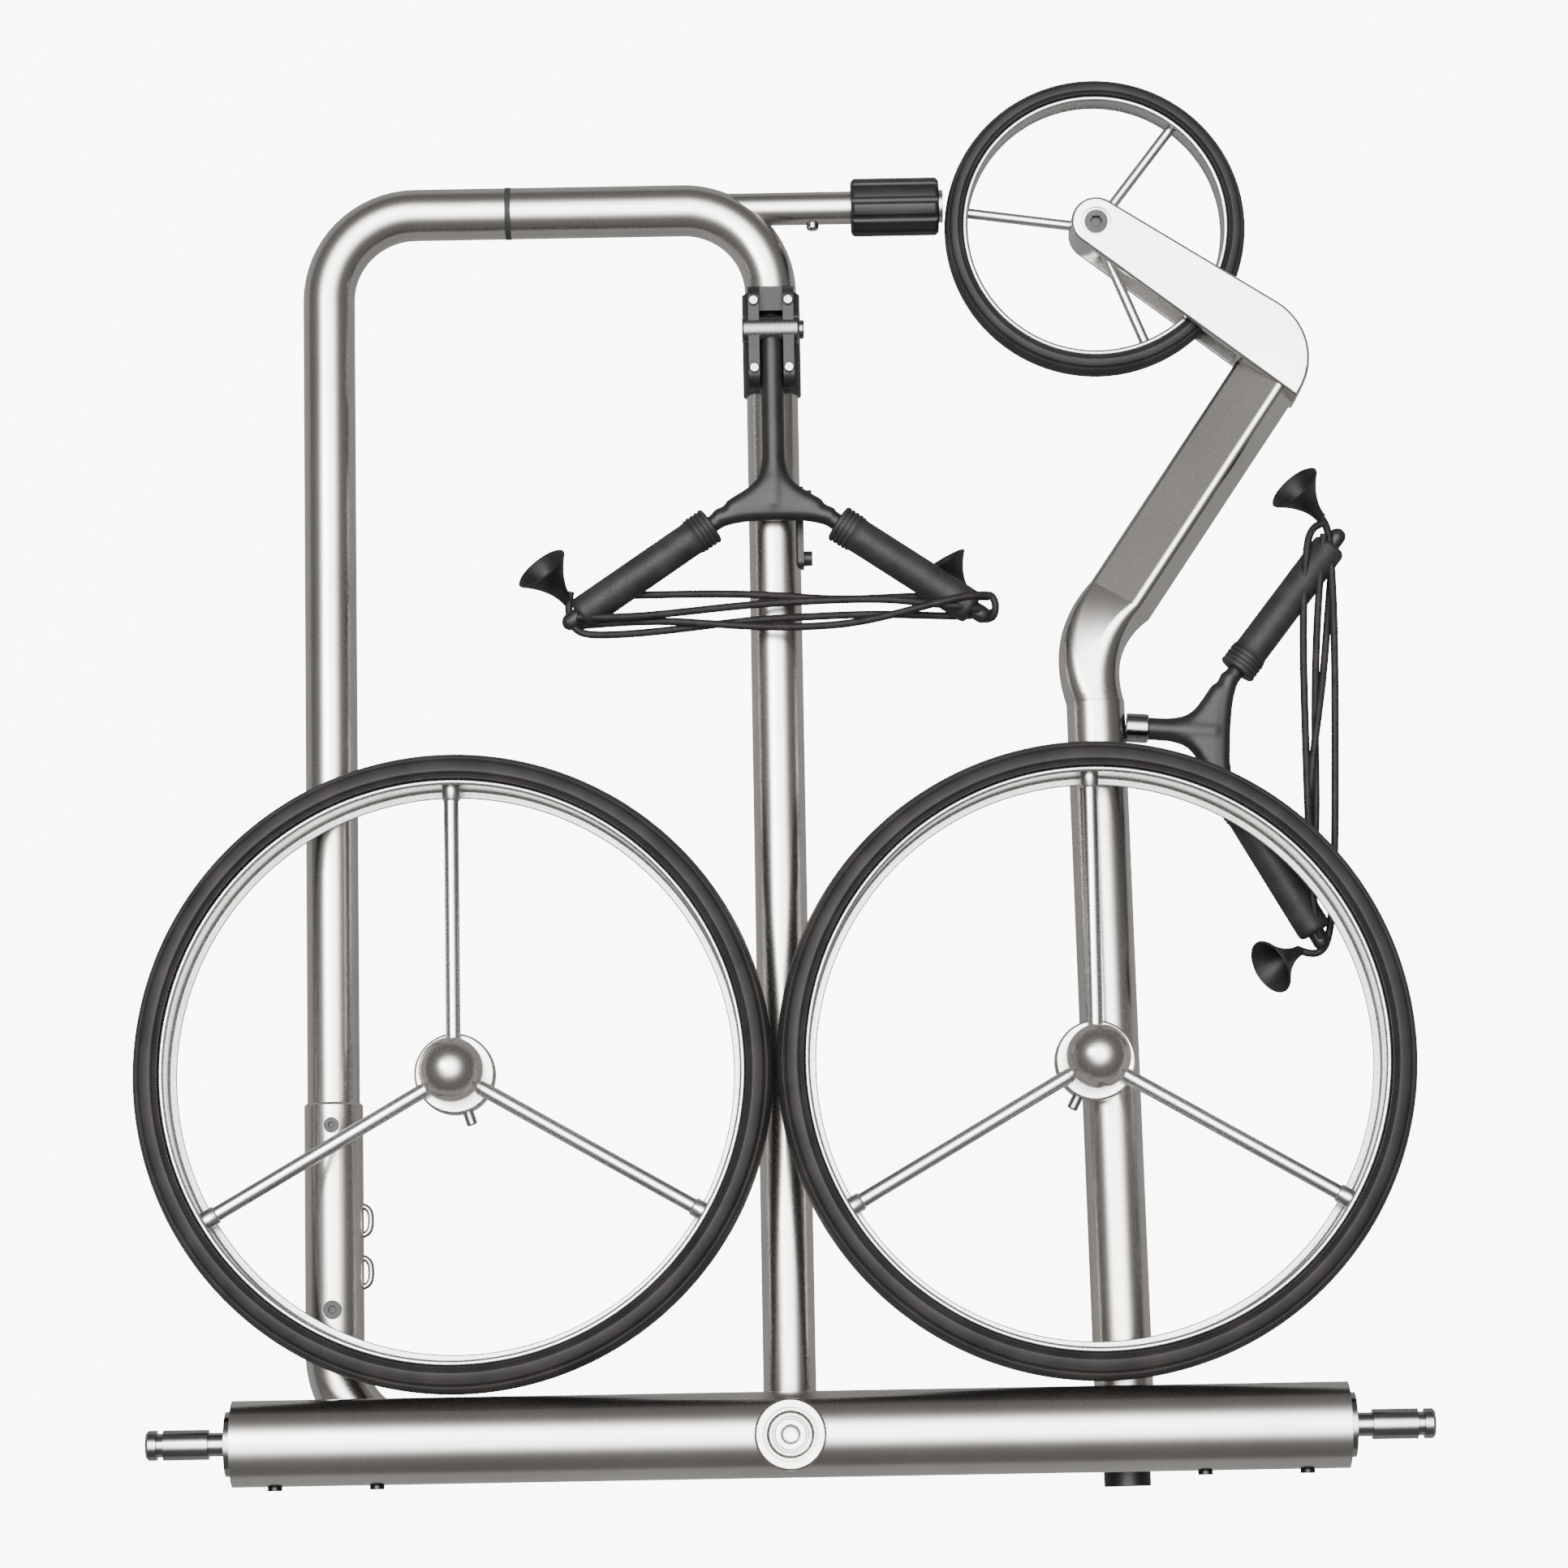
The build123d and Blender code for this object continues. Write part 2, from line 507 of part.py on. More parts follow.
def yoke_frame(plane, root, lug):
    """Stem, webbed fork and two round arms with ball tips, in the plane's XY with the stem along +X."""
    with BuildPart() as frame:
        with BuildSketch(plane * Plane(origin=(lug, 0, 0), z_dir=(1, 0, 0))):
            Circle(YOKE_STEM_R)
        extrude(amount=root - lug + 2.0)
        for side in (-1, 1):
            reach = yoke_arm(side)
            arm = Plane(origin=(root, 0, 0), z_dir=reach)
            with BuildSketch(plane * arm):
                Circle(YOKE_NECK_R)
            extrude(amount=YOKE_ARM_LEN)
            ball = Vector(root, 0, 0) + reach * YOKE_ARM_LEN
            with Locations(plane * Location(ball)):
                Sphere(YOKE_NECK_R)
        inner = math.radians(YOKE_ARM_ANGLE)
        far = (root + WEB_REACH * math.cos(inner), WEB_REACH * math.sin(inner))
        near = (root - WEB_START, YOKE_STEM_R - 1.0)
        with BuildSketch(plane.offset(-WEB_T / 2)):
            with BuildLine():
                Spline(near, (root - 3.0, 8.0), far)
                Spline(far, (root + WEB_ARCH, 0), (far[0], -far[1]))
                Spline((far[0], -far[1]), (root - 3.0, -8.0), (near[0], -near[1]))
                Line((near[0], -near[1]), near)
            make_face()
        extrude(amount=WEB_T)
    return frame.part


def yoke_grips(plane, root):
    """Two rubber sleeves on the arms, rounded at both ends."""
    with BuildPart() as grips:
        for side in (-1, 1):
            reach = yoke_arm(side)
            start = Vector(root, 0, 0) + reach * YOKE_GRIP_FROM
            with BuildSketch(plane * Plane(origin=start, z_dir=reach)):
                Circle(YOKE_GRIP_R)
            extrude(amount=YOKE_GRIP_TO - YOKE_GRIP_FROM)
        fillet(grips.edges().filter_by(GeomType.CIRCLE), 2.0)
        for side in (-1, 1):
            reach = yoke_arm(side)
            start = Vector(root, 0, 0) + reach * YOKE_GRIP_FROM
            with BuildSketch(plane * Plane(origin=start, z_dir=reach)):
                Circle(YOKE_NECK_R)
            extrude(amount=YOKE_GRIP_TO - YOKE_GRIP_FROM, mode=Mode.SUBTRACT)
    return grips.part


TRUMPET_LEN = 21.0
TRUMPET_MOUTH_R = 14.0
TRUMPET_NECK_R = 3.0
TRUMPET_STALK = 5.0
TRUMPET_STALK_R = 1.9
TRUMPET_WALL = 1.6


def trumpet(neck, mouth, mouth_r):
    """A hollow flared rubber horn that hooks the elastic cord, from its neck towards its mouth."""
    plane = along(neck, mouth)
    with BuildPart() as horn:
        with BuildSketch(plane):
            Circle(TRUMPET_STALK_R)
        extrude(amount=-TRUMPET_STALK)
        with BuildSketch(Plane(origin=plane.origin, x_dir=plane.x_dir, z_dir=-plane.y_dir)):
            with BuildLine():
                Line((0, 0), (TRUMPET_NECK_R, 0))
                Spline((TRUMPET_NECK_R, 0), (mouth_r * 0.38, TRUMPET_LEN * 0.55),
                       (mouth_r, TRUMPET_LEN))
                Line((mouth_r, TRUMPET_LEN), (mouth_r - TRUMPET_WALL, TRUMPET_LEN + 0.4))
                Spline((mouth_r - TRUMPET_WALL, TRUMPET_LEN + 0.4), (mouth_r * 0.3, TRUMPET_LEN * 0.72),
                       (0, TRUMPET_LEN * 0.5))
                Line((0, TRUMPET_LEN * 0.5), (0, 0))
            make_face()
        revolve(axis=Axis(plane.origin, plane.z_dir))
    return horn.part


def cord_loop(plane, reach, half, nose):
    """One closed turn of elastic cord: a run above and a run below the arms, joined round their tips."""
    def spot(across_stem, height):
        return plane.from_local_coords(Vector(reach, across_stem, height))

    left_top, right_top = spot(-half, nose), spot(half, nose)
    left_low, right_low = spot(-half, -nose), spot(half, -nose)
    with BuildPart() as loop:
        with BuildLine() as path:
            Line(left_top, right_top)
            ThreePointArc(right_top, spot(half + nose, 0), right_low)
            Line(right_low, left_low)
            ThreePointArc(left_low, spot(-half - nose, 0), left_top)
        with BuildSketch(Plane(origin=left_top, z_dir=right_top - left_top)):
            Circle(CORD_R)
        sweep(path=path.wire())
    return loop.part


upper_plane = Plane(origin=(AXLE_X, HINGE_Y, YOKE_Z), x_dir=(0, -1, 0), z_dir=(0, 0, 1))
with BuildPart() as upper_yoke_frame:
    add(yoke_frame(upper_plane, YOKE_ARM_ROOT, 0.0))
    with BuildSketch(Plane(origin=(AXLE_X - CHEEK_IN + 0.2, HINGE_Y, YOKE_Z), z_dir=(1, 0, 0))):
        Circle(6.0)
    extrude(amount=2 * (CHEEK_IN - 0.2))
    with BuildSketch(Plane(origin=(AXLE_X - 20.0, HINGE_Y, YOKE_Z), z_dir=(1, 0, 0))):
        Circle(PIN_R + RUN)
    extrude(amount=40.0, mode=Mode.SUBTRACT)
save(upper_yoke_frame.part, "upper_yoke_frame")
save(yoke_grips(upper_plane, YOKE_ARM_ROOT), "upper_yoke_grips")

TIP_S = YOKE_ARM_ROOT + YOKE_ARM_LEN * math.cos(math.radians(YOKE_ARM_ANGLE))
TIP_T = YOKE_ARM_LEN * math.sin(math.radians(YOKE_ARM_ANGLE))
TIP_GAP = YOKE_NECK_R + CORD_R + 0.3

upper_left_neck = (AXLE_X - TIP_T - 5.0, HINGE_Y - TIP_S + 11.0, YOKE_Z)
upper_left_mouth = (upper_left_neck[0] - 12.0, upper_left_neck[1] + 13.0, YOKE_Z)
upper_right_neck = (AXLE_X + TIP_T + 1.0, HINGE_Y - TIP_S + 9.0, YOKE_Z - 11.5)
upper_right_mouth = (upper_right_neck[0] - 17.0, upper_right_neck[1] + 22.0, YOKE_Z - 16.0)
with BuildPart() as upper_yoke_horns:
    add(trumpet(upper_left_neck, upper_left_mouth, TRUMPET_MOUTH_R))
    add(trumpet(upper_right_neck, upper_right_mouth, TRUMPET_MOUTH_R - 1.0))
save(upper_yoke_horns.part, "upper_yoke_horns")
save(cord_loop(upper_plane, TIP_S + CORD_R, TIP_T, TIP_GAP), "upper_yoke_cord")

# ================= front arm: pulled out from under the axle =================
ARM_FOOT = (AXLE_X + 158.0, AXLE_Y - 20.0)
ARM_KNEE = (AXLE_X + 152.0, AXLE_Y + 375.5)
CROWN = (AXLE_X + 248.6, AXLE_Y + 516.7)
FORK_HUB = (AXLE_X + 158.0, AXLE_Y + 579.0)
BLADE_W = 29.5
BLADE_T = 21.0
BLADE_CORNER = 3.5
BLADE_TWIST = -25.0     # the blade's face leans towards the centre tube
FORK_HALF = 16.0
FORK_PLATE = 4.5
KNEE_W = 29.8
KNEE_T = 25.0
LOFT_RUN = 30.0
BLADE_SHORT = 13.0      # the blade ends inside the crown, this far from its middle
PLUG_OUT = 6.8

foot = (ARM_FOOT[0], ARM_FOOT[1], ARM_Z)
knee = (ARM_KNEE[0], ARM_KNEE[1], ARM_Z)
crown = (CROWN[0], CROWN[1], ARM_Z)
arm_dir = (Vector(*knee) - Vector(*foot)).normalized()
blade_dir = (Vector(*crown) - Vector(*knee)).normalized()
arm_end = Vector(*knee) - arm_dir * LOFT_RUN
blade_start = Vector(*knee) + blade_dir * LOFT_RUN * 0.8
mid_dir = (arm_dir + blade_dir).normalized()


def across(direction):
    """The in-plane sideways direction of a tube that runs along a level direction."""
    return Vector(direction.Y, -direction.X, 0)


with BuildPart() as arm_tube:
    with BuildSketch(Plane(origin=foot, x_dir=across(arm_dir), z_dir=arm_dir)):
        Circle(GRIP_R)
        Circle(GRIP_R - WALL, mode=Mode.SUBTRACT)
    extrude(amount=gap(foot, arm_end))
save(arm_tube.part, "arm_tube")


def blade_body(shrink):
    """Transition from the round arm to the flat blade, and the straight blade, made smaller by shrink."""
    with BuildPart() as body:
        with BuildSketch(Plane(origin=arm_end, x_dir=across(arm_dir), z_dir=arm_dir)):
            RectangleRounded(2 * GRIP_R - 2 * shrink, 2 * GRIP_R - 2 * shrink, GRIP_R - shrink - 0.01)
        with BuildSketch(Plane(origin=knee, x_dir=across(mid_dir), z_dir=mid_dir)):
            RectangleRounded(KNEE_W - 2 * shrink, KNEE_T - 2 * shrink, 9.0 - shrink, rotation=BLADE_TWIST / 2)
        with BuildSketch(Plane(origin=blade_start, x_dir=across(blade_dir), z_dir=blade_dir)):
            RectangleRounded(BLADE_W - 2 * shrink, BLADE_T - 2 * shrink, BLADE_CORNER - shrink,
                             rotation=BLADE_TWIST)
        loft()
        with BuildSketch(Plane(origin=blade_start, x_dir=across(blade_dir), z_dir=blade_dir)):
            RectangleRounded(BLADE_W - 2 * shrink, BLADE_T - 2 * shrink, BLADE_CORNER - shrink,
                             rotation=BLADE_TWIST)
        extrude(amount=gap(blade_start, crown) - BLADE_SHORT)
    return body.part


fork_dir = (Vector(FORK_HUB[0], FORK_HUB[1], 0) - Vector(CROWN[0], CROWN[1], 0)).normalized()
FORK_LEN = gap((FORK_HUB[0], FORK_HUB[1], 0), (CROWN[0], CROWN[1], 0))
HUB_END_R = 12.0
CROWN_HALF = 15.0
CROWN_SIDE = 17.4       # just outside the blade
CROWN_HEEL = 19.2       # how far the crown runs back over the blade
CROWN_ROUND = 32.0      # its large outer corner
CROWN_EDGE = 1.6
SLOT_FROM = 17.4        # where the fork opens for the wheel
BOLT_R = 4.0
BOLT_RECESS_R = 7.0
BOLT_RECESS = 2.0
fork_plane = Plane(origin=(CROWN[0], CROWN[1], ARM_Z), x_dir=fork_dir, z_dir=(0, 0, 1))

round_x = CROWN_ROUND - CROWN_SIDE
round_y = CROWN_ROUND - CROWN_HALF
round_step = CROWN_ROUND * math.sqrt(0.5)
round_mid = (round_x - round_step, round_y - round_step)
with BuildPart() as fork:
    with BuildSketch(fork_plane.offset(-FORK_HALF)):
        with BuildLine():
            Line((-CROWN_SIDE, CROWN_HEEL), (-CROWN_SIDE, round_y))
            ThreePointArc((-CROWN_SIDE, round_y), round_mid, (round_x, -CROWN_HALF))
            Line((round_x, -CROWN_HALF), (FORK_LEN, -HUB_END_R))
            ThreePointArc((FORK_LEN, -HUB_END_R), (FORK_LEN + HUB_END_R, 0), (FORK_LEN, HUB_END_R))
            Line((FORK_LEN, HUB_END_R), (-CROWN_SIDE, CROWN_HEEL))
        make_face()
    extrude(amount=2 * FORK_HALF)
    fillet(fork.edges().group_by(Axis.Z)[-1] + fork.edges().group_by(Axis.Z)[0], CROWN_EDGE)
    with BuildSketch(fork_plane.offset(-FORK_HALF + FORK_PLATE)):
        with Locations((SLOT_FROM + FORK_LEN / 2, 0)):
            Rectangle(FORK_LEN, 60.0)
    extrude(amount=2 * (FORK_HALF - FORK_PLATE), mode=Mode.SUBTRACT)
    with BuildSketch(Plane(origin=(FORK_HUB[0], FORK_HUB[1], 0))):
        Circle(BOLT_R)
    extrude(amount=60.0, mode=Mode.SUBTRACT)
    for level, depth in ((ARM_Z + FORK_HALF, -BOLT_RECESS), (ARM_Z - FORK_HALF, BOLT_RECESS)):
        with BuildSketch(Plane(origin=(FORK_HUB[0], FORK_HUB[1], level))):
            Circle(BOLT_RECESS_R)
        extrude(amount=depth, mode=Mode.SUBTRACT)
save(fork.part, "fork")

blade_shell = blade_body(0.0) - blade_body(1.6)
blade_tube = blade_shell - fork.part
save(blade_tube, "blade_tube")

with BuildPart() as fork_bolt:
    with BuildSketch(Plane(origin=(FORK_HUB[0], FORK_HUB[1], ARM_Z - FORK_HALF + 0.4))):
        Circle(BOLT_R)
    extrude(amount=2 * FORK_HALF - 0.8)
    for level, height in ((ARM_Z + FORK_HALF - BOLT_RECESS, 1.6), (ARM_Z - FORK_HALF + BOLT_RECESS, -1.6)):
        with BuildSketch(Plane(origin=(FORK_HUB[0], FORK_HUB[1], level))):
            Circle(5.6)
        extrude(amount=height)
    with BuildSketch(Plane(origin=(FORK_HUB[0], FORK_HUB[1], ARM_Z + FORK_HALF))):
        RegularPolygon(radius=2.5, side_count=6, major_radius=False)
    extrude(amount=-3.0, mode=Mode.SUBTRACT)
save(fork_bolt.part, "fork_bolt")

with BuildPart() as arm_plug:
    with BuildSketch(Plane(origin=foot, x_dir=across(arm_dir), z_dir=arm_dir)):
        Circle(GRIP_R - WALL)
    extrude(amount=20.0)
    with BuildSketch(Plane(origin=foot, x_dir=across(arm_dir), z_dir=-arm_dir)):
        Circle(11.0)
    extrude(amount=PLUG_OUT)
    with BuildSketch(Plane(origin=Vector(*foot) - arm_dir * PLUG_OUT, x_dir=across(arm_dir), z_dir=arm_dir)):
        Circle(5.2)
    extrude(amount=20.0, mode=Mode.SUBTRACT)
save(arm_plug.part, "arm_plug")

# ---- lower yoke on its ferrule ----
FERRULE_Y = AXLE_Y + 334.5
YOKE_TILT = -4.0        # the stem leans a little towards the axle
STEM_FROM = (AXLE_X + 154.0, FERRULE_Y, ARM_Z)
lower_x = Vector(math.cos(math.radians(YOKE_TILT)), math.sin(math.radians(YOKE_TILT)), 0)
lower_plane = Plane(origin=STEM_FROM, x_dir=lower_x, z_dir=(0, 0, 1))
FERRULE_S = 13.0
FERRULE_END = 23.5
with BuildPart() as yoke_ferrule:
    with BuildSketch(lower_plane * Plane(origin=(FERRULE_S, 0, 0), z_dir=(1, 0, 0))):
        Circle(7.0)
        Circle(YOKE_STEM_R + RUN, mode=Mode.SUBTRACT)
    extrude(amount=FERRULE_END - FERRULE_S)
    with BuildSketch(Plane(origin=foot, x_dir=across(arm_dir), z_dir=arm_dir)):
        Circle(GRIP_R)
    extrude(amount=gap(foot, arm_end) + 60.0, mode=Mode.SUBTRACT)
    chamfer(yoke_ferrule.edges().filter_by(GeomType.CIRCLE).group_by(Axis.X)[-1], 0.6)
save(yoke_ferrule.part, "yoke_ferrule")

LOWER_ROOT = 44.2
with BuildPart() as lower_yoke_frame:
    add(yoke_frame(lower_plane, LOWER_ROOT, GRIP_R + 1.5))
save(lower_yoke_frame.part, "lower_yoke_frame")
save(yoke_grips(lower_plane, LOWER_ROOT), "lower_yoke_grips")
LOWER_TIP_S = LOWER_ROOT + YOKE_ARM_LEN * math.cos(math.radians(YOKE_ARM_ANGLE))
save(cord_loop(lower_plane, LOWER_TIP_S + CORD_R, TIP_T, TIP_GAP), "lower_yoke_cord")


def in_plane(plane, x, y, z=0.0):
    """A point given in a plane's own axes, as plain coordinates."""
    point = plane.from_local_coords(Vector(x, y, z))
    return (point.X, point.Y, point.Z)


with BuildPart() as lower_yoke_horns:
    high_neck = in_plane(lower_plane, LOWER_TIP_S - 8.0, TIP_T + 9.0)
    high_mouth = in_plane(lower_plane, LOWER_TIP_S - 18.0, TIP_T + 24.0)
    add(trumpet(high_neck, high_mouth, TRUMPET_MOUTH_R))
    low_neck = in_plane(lower_plane, LOWER_TIP_S - 6.0, -TIP_T - 8.6)
    low_mouth = in_plane(lower_plane, LOWER_TIP_S - 20.0, -TIP_T - 17.5)
    add(trumpet(low_neck, low_mouth, TRUMPET_MOUTH_R))
save(lower_yoke_horns.part, "lower_yoke_horns")

# ================= wheels =================
LIP_T = 1.6
RIM_SHARE = 0.8         # rim width over tyre width


def tyre(centre, radius, depth, half, name):
    """Solid rubber tyre: a flat seat, bulging walls and a crowned tread."""
    with BuildPart() as rubber:
        with BuildSketch(Plane(origin=centre, x_dir=(1, 0, 0), z_dir=(0, -1, 0))):
            with BuildLine():
                seat = radius - depth
                Line((seat, -half * 0.8), (seat, half * 0.8))
                Spline((seat, half * 0.8), (seat + depth * 0.35, half), (radius - depth * 0.3, half * 0.78),
                       (radius, 0), (radius - depth * 0.3, -half * 0.78), (seat + depth * 0.35, -half),
                       (seat, -half * 0.8))
            make_face()
        revolve(axis=Axis(centre, (0, 0, 1)))
    save(rubber.part, name)


def rim(centre, seat, half, rear, name):
    """Rolled metal rim: a thin cylinder with a small lip in front and a flange of depth rear behind."""
    inner = seat - RIM_T * 0.6
    lip = seat - RIM_T
    flange = seat - rear
    edge = half - LIP_T
    outline = ((seat, -half), (seat, half), (lip, half), (lip, edge), (inner, edge),
               (inner, -edge), (flange, -edge), (flange, -half))
    with BuildPart() as turned:
        with BuildSketch(Plane(origin=centre, x_dir=(1, 0, 0), z_dir=(0, -1, 0))):
            with BuildLine():
                Polyline(*outline, close=True)
            make_face()
        revolve(axis=Axis(centre, (0, 0, 1)))
    save(turned.part, name)


def spokes(centre, start, stop, radius, angles):
    """Round spokes in the wheel's mid plane, their outer ends curved to the rim."""
    with BuildPart() as bars:
        for angle in angles:
            reach = Vector(math.cos(math.radians(angle)), math.sin(math.radians(angle)), 0)
            with BuildSketch(Plane(origin=Vector(*centre) + reach * start, z_dir=reach)):
                Circle(radius)
            extrude(amount=stop - start + 1.0)
        with BuildSketch(Plane(origin=centre).offset(-radius)):
            Circle(stop)
        extrude(amount=2 * radius, mode=Mode.INTERSECT)
    return bars.part


DOME_TOP = 35.0         # above the wheel's mid plane
HUB_BACK = 5.0          # below the mid plane, where the hub shell starts
CORE_BACK = 19.0        # below the mid plane, the back of the core's collar
CORE_BORE = 34.0
BEARING_R = 13.0
BEARING_W = 5.0
SPOKE_ANGLES = (90, 210, 330)
RELEASE_R = 2.6
RELEASE_OUT = 6.0       # how far the button stands out of the collar


def main_wheel(side_name, place, button_angle):
    """One main wheel: tyre, rim, spokes, hub, bearings, and the quick-release core with its button."""
    centre = (place[0], place[1], WHEEL_Z)
    seat = WHEEL_R - TYRE_H
    inner = seat - RIM_T * 0.6
    tyre(centre, WHEEL_R, TYRE_H, TYRE_HALF, side_name + "_tyre")
    rim(centre, seat, TYRE_HALF * RIM_SHARE, REAR_LIP, side_name + "_rim")
    bars = spokes(centre, HUB_R - 3.0, inner, SPOKE_R, SPOKE_ANGLES)
    with BuildPart() as hub:
        with BuildSketch(Plane(origin=centre).offset(-HUB_BACK)):
            Circle(HUB_R)
        extrude(amount=HUB_BACK + DOME_TOP - HUB_R)
        with Locations((centre[0], centre[1], WHEEL_Z + DOME_TOP - HUB_R)):
            Sphere(HUB_R)
        with BuildSketch(Plane(origin=centre).offset(-HUB_BACK)):
            Circle(BEARING_R)
        extrude(amount=HUB_BACK + DOME_TOP - HUB_R, mode=Mode.SUBTRACT)
    save(hub.part, side_name + "_hub")
    with BuildPart() as bar_ends:
        add(bars - hub.part)
        with BuildSketch(Plane(origin=centre).offset(-HUB_BACK - 2.0)):
            Circle(HUB_R)
        extrude(amount=60.0, mode=Mode.SUBTRACT)
    save(bar_ends.part, side_name + "_spokes")
    with BuildPart() as bearings:
        for level in (-HUB_BACK, DOME_TOP - HUB_R - BEARING_W):
            with BuildSketch(Plane(origin=centre).offset(level)):
                Circle(BEARING_R)
                Circle(CORE_R + RUN, mode=Mode.SUBTRACT)
            extrude(amount=BEARING_W)
    save(bearings.part, side_name + "_bearings")
    with BuildPart() as core:
        with BuildSketch(Plane(origin=centre).offset(-CORE_BACK)):
            Circle(COLLAR_R)
        extrude(amount=CORE_BACK - HUB_BACK - 0.4)
        chamfer(core.edges().filter_by(GeomType.CIRCLE), 1.0)
        with BuildSketch(Plane(origin=centre).offset(-HUB_BACK - 1.0)):
            Circle(CORE_R)
        extrude(amount=HUB_BACK + 1.0 + DOME_TOP - HUB_R)
        with BuildSketch(Plane(origin=centre).offset(-CORE_BACK)):
            Circle(BORE_R)
        extrude(amount=CORE_BORE, mode=Mode.SUBTRACT)
        reach = Vector(math.cos(math.radians(button_angle)), math.sin(math.radians(button_angle)), 0)
        button_at = Vector(centre[0], centre[1], WHEEL_Z - CORE_BACK + 4.0)
        with BuildSketch(Plane(origin=button_at, z_dir=reach)):
            Circle(RELEASE_R + RUN)
        extrude(amount=COLLAR_R + 2.0, mode=Mode.SUBTRACT)
    save(core.part, side_name + "_hub_core")
    with BuildPart() as button:
        with BuildSketch(Plane(origin=button_at + reach * (BORE_R + 3.6), z_dir=reach)):
            Circle(RELEASE_R)
        extrude(amount=COLLAR_R + RELEASE_OUT - BORE_R - 3.6)
        chamfer(button.edges().filter_by(GeomType.CIRCLE), 0.5)
    save(button.part, side_name + "_release_button")


main_wheel("left", LEFT_WHEEL, -72.0)
main_wheel("right", RIGHT_WHEEL, -117.0)

front_centre = (FORK_HUB[0], FORK_HUB[1], ARM_Z)
FRONT_HUB_R = 12.0
FRONT_HUB_HALF = 11.2
FRONT_BEARING_R = 9.0
FRONT_BEARING_W = 6.0
FRONT_SPOKE_R = 2.5
FRONT_SPOKE_ANGLES = (172, 52, 292)
FRONT_SEAT = FRONT_R - FRONT_TYRE_H
tyre(front_centre, FRONT_R, FRONT_TYRE_H, FRONT_HALF, "front_tyre")
rim(front_centre, FRONT_SEAT, FRONT_HALF * RIM_SHARE, RIM_T, "front_rim")
front_reach = FRONT_SEAT - RIM_T * 0.6
front_bars = spokes(front_centre, FRONT_HUB_R - 2.0, front_reach, FRONT_SPOKE_R, FRONT_SPOKE_ANGLES)
with BuildPart() as front_hub:
    with BuildSketch(Plane(origin=front_centre).offset(-FRONT_HUB_HALF)):
        Circle(FRONT_HUB_R)
        Circle(FRONT_BEARING_R, mode=Mode.SUBTRACT)
    extrude(amount=2 * FRONT_HUB_HALF)
save(front_hub.part, "front_hub")
with BuildPart() as front_spokes:
    add(front_bars)
    with BuildSketch(Plane(origin=front_centre).offset(-FRONT_HUB_HALF)):
        Circle(FRONT_HUB_R)
    extrude(amount=2 * FRONT_HUB_HALF, mode=Mode.SUBTRACT)
save(front_spokes.part, "front_spokes")
with BuildPart() as front_bearings:
    for level in (-FRONT_HUB_HALF, FRONT_HUB_HALF - FRONT_BEARING_W):
        with BuildSketch(Plane(origin=front_centre).offset(level)):
            Circle(FRONT_BEARING_R)
            Circle(BOLT_R + RUN, mode=Mode.SUBTRACT)
        extrude(amount=FRONT_BEARING_W)
save(front_bearings.part, "front_bearings")
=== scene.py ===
"""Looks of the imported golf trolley: finer tyres, rims, fasteners, yokes, horns and cords on the CAD model.

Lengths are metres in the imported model's frame, unless a comment says millimetres.  Yoke shapes are drawn in
a yoke's own plane: the first coordinate runs along its stem from the joint, the second across it, the third
up out of the plane.
"""
import json
import math

import bmesh
import bpy
from mathutils import Matrix, Vector

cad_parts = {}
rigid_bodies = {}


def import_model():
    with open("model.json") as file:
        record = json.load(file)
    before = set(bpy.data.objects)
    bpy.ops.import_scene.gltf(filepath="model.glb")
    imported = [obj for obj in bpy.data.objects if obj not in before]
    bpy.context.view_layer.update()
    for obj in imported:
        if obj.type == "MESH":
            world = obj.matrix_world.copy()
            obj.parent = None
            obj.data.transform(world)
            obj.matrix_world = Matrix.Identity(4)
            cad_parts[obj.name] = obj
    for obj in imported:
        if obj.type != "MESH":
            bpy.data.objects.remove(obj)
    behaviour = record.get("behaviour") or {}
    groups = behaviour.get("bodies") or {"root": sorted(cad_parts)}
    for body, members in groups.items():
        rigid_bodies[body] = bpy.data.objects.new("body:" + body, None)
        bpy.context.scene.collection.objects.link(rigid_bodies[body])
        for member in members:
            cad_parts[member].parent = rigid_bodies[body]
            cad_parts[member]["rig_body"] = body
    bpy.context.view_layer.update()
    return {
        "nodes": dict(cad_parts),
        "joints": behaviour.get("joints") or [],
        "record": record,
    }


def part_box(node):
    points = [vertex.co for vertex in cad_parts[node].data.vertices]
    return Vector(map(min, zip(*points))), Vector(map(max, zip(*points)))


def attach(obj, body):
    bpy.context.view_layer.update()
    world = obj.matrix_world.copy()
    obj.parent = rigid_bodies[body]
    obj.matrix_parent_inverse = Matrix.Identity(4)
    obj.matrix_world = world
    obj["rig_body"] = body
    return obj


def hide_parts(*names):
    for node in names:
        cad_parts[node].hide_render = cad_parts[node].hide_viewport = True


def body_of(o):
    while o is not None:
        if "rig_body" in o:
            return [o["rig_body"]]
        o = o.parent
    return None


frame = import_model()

MM = 0.001
RIGHT = Vector((1, 0, 0))
UP = Vector((0, 0, 1))
SCENE = bpy.context.scene

# ================= camera =================
LOOK_AT = Vector((0.0053, -0.0031, 0.0150))
DISTANCE = 2.4
ELEVATION = math.radians(82.37)
ROLL = math.radians(1.018)
VIEW_WIDTH = 0.7517             # what the picture takes in at LOOK_AT
SENSOR_WIDTH = 36.0             # millimetres
FAR_CLIP = 20.0


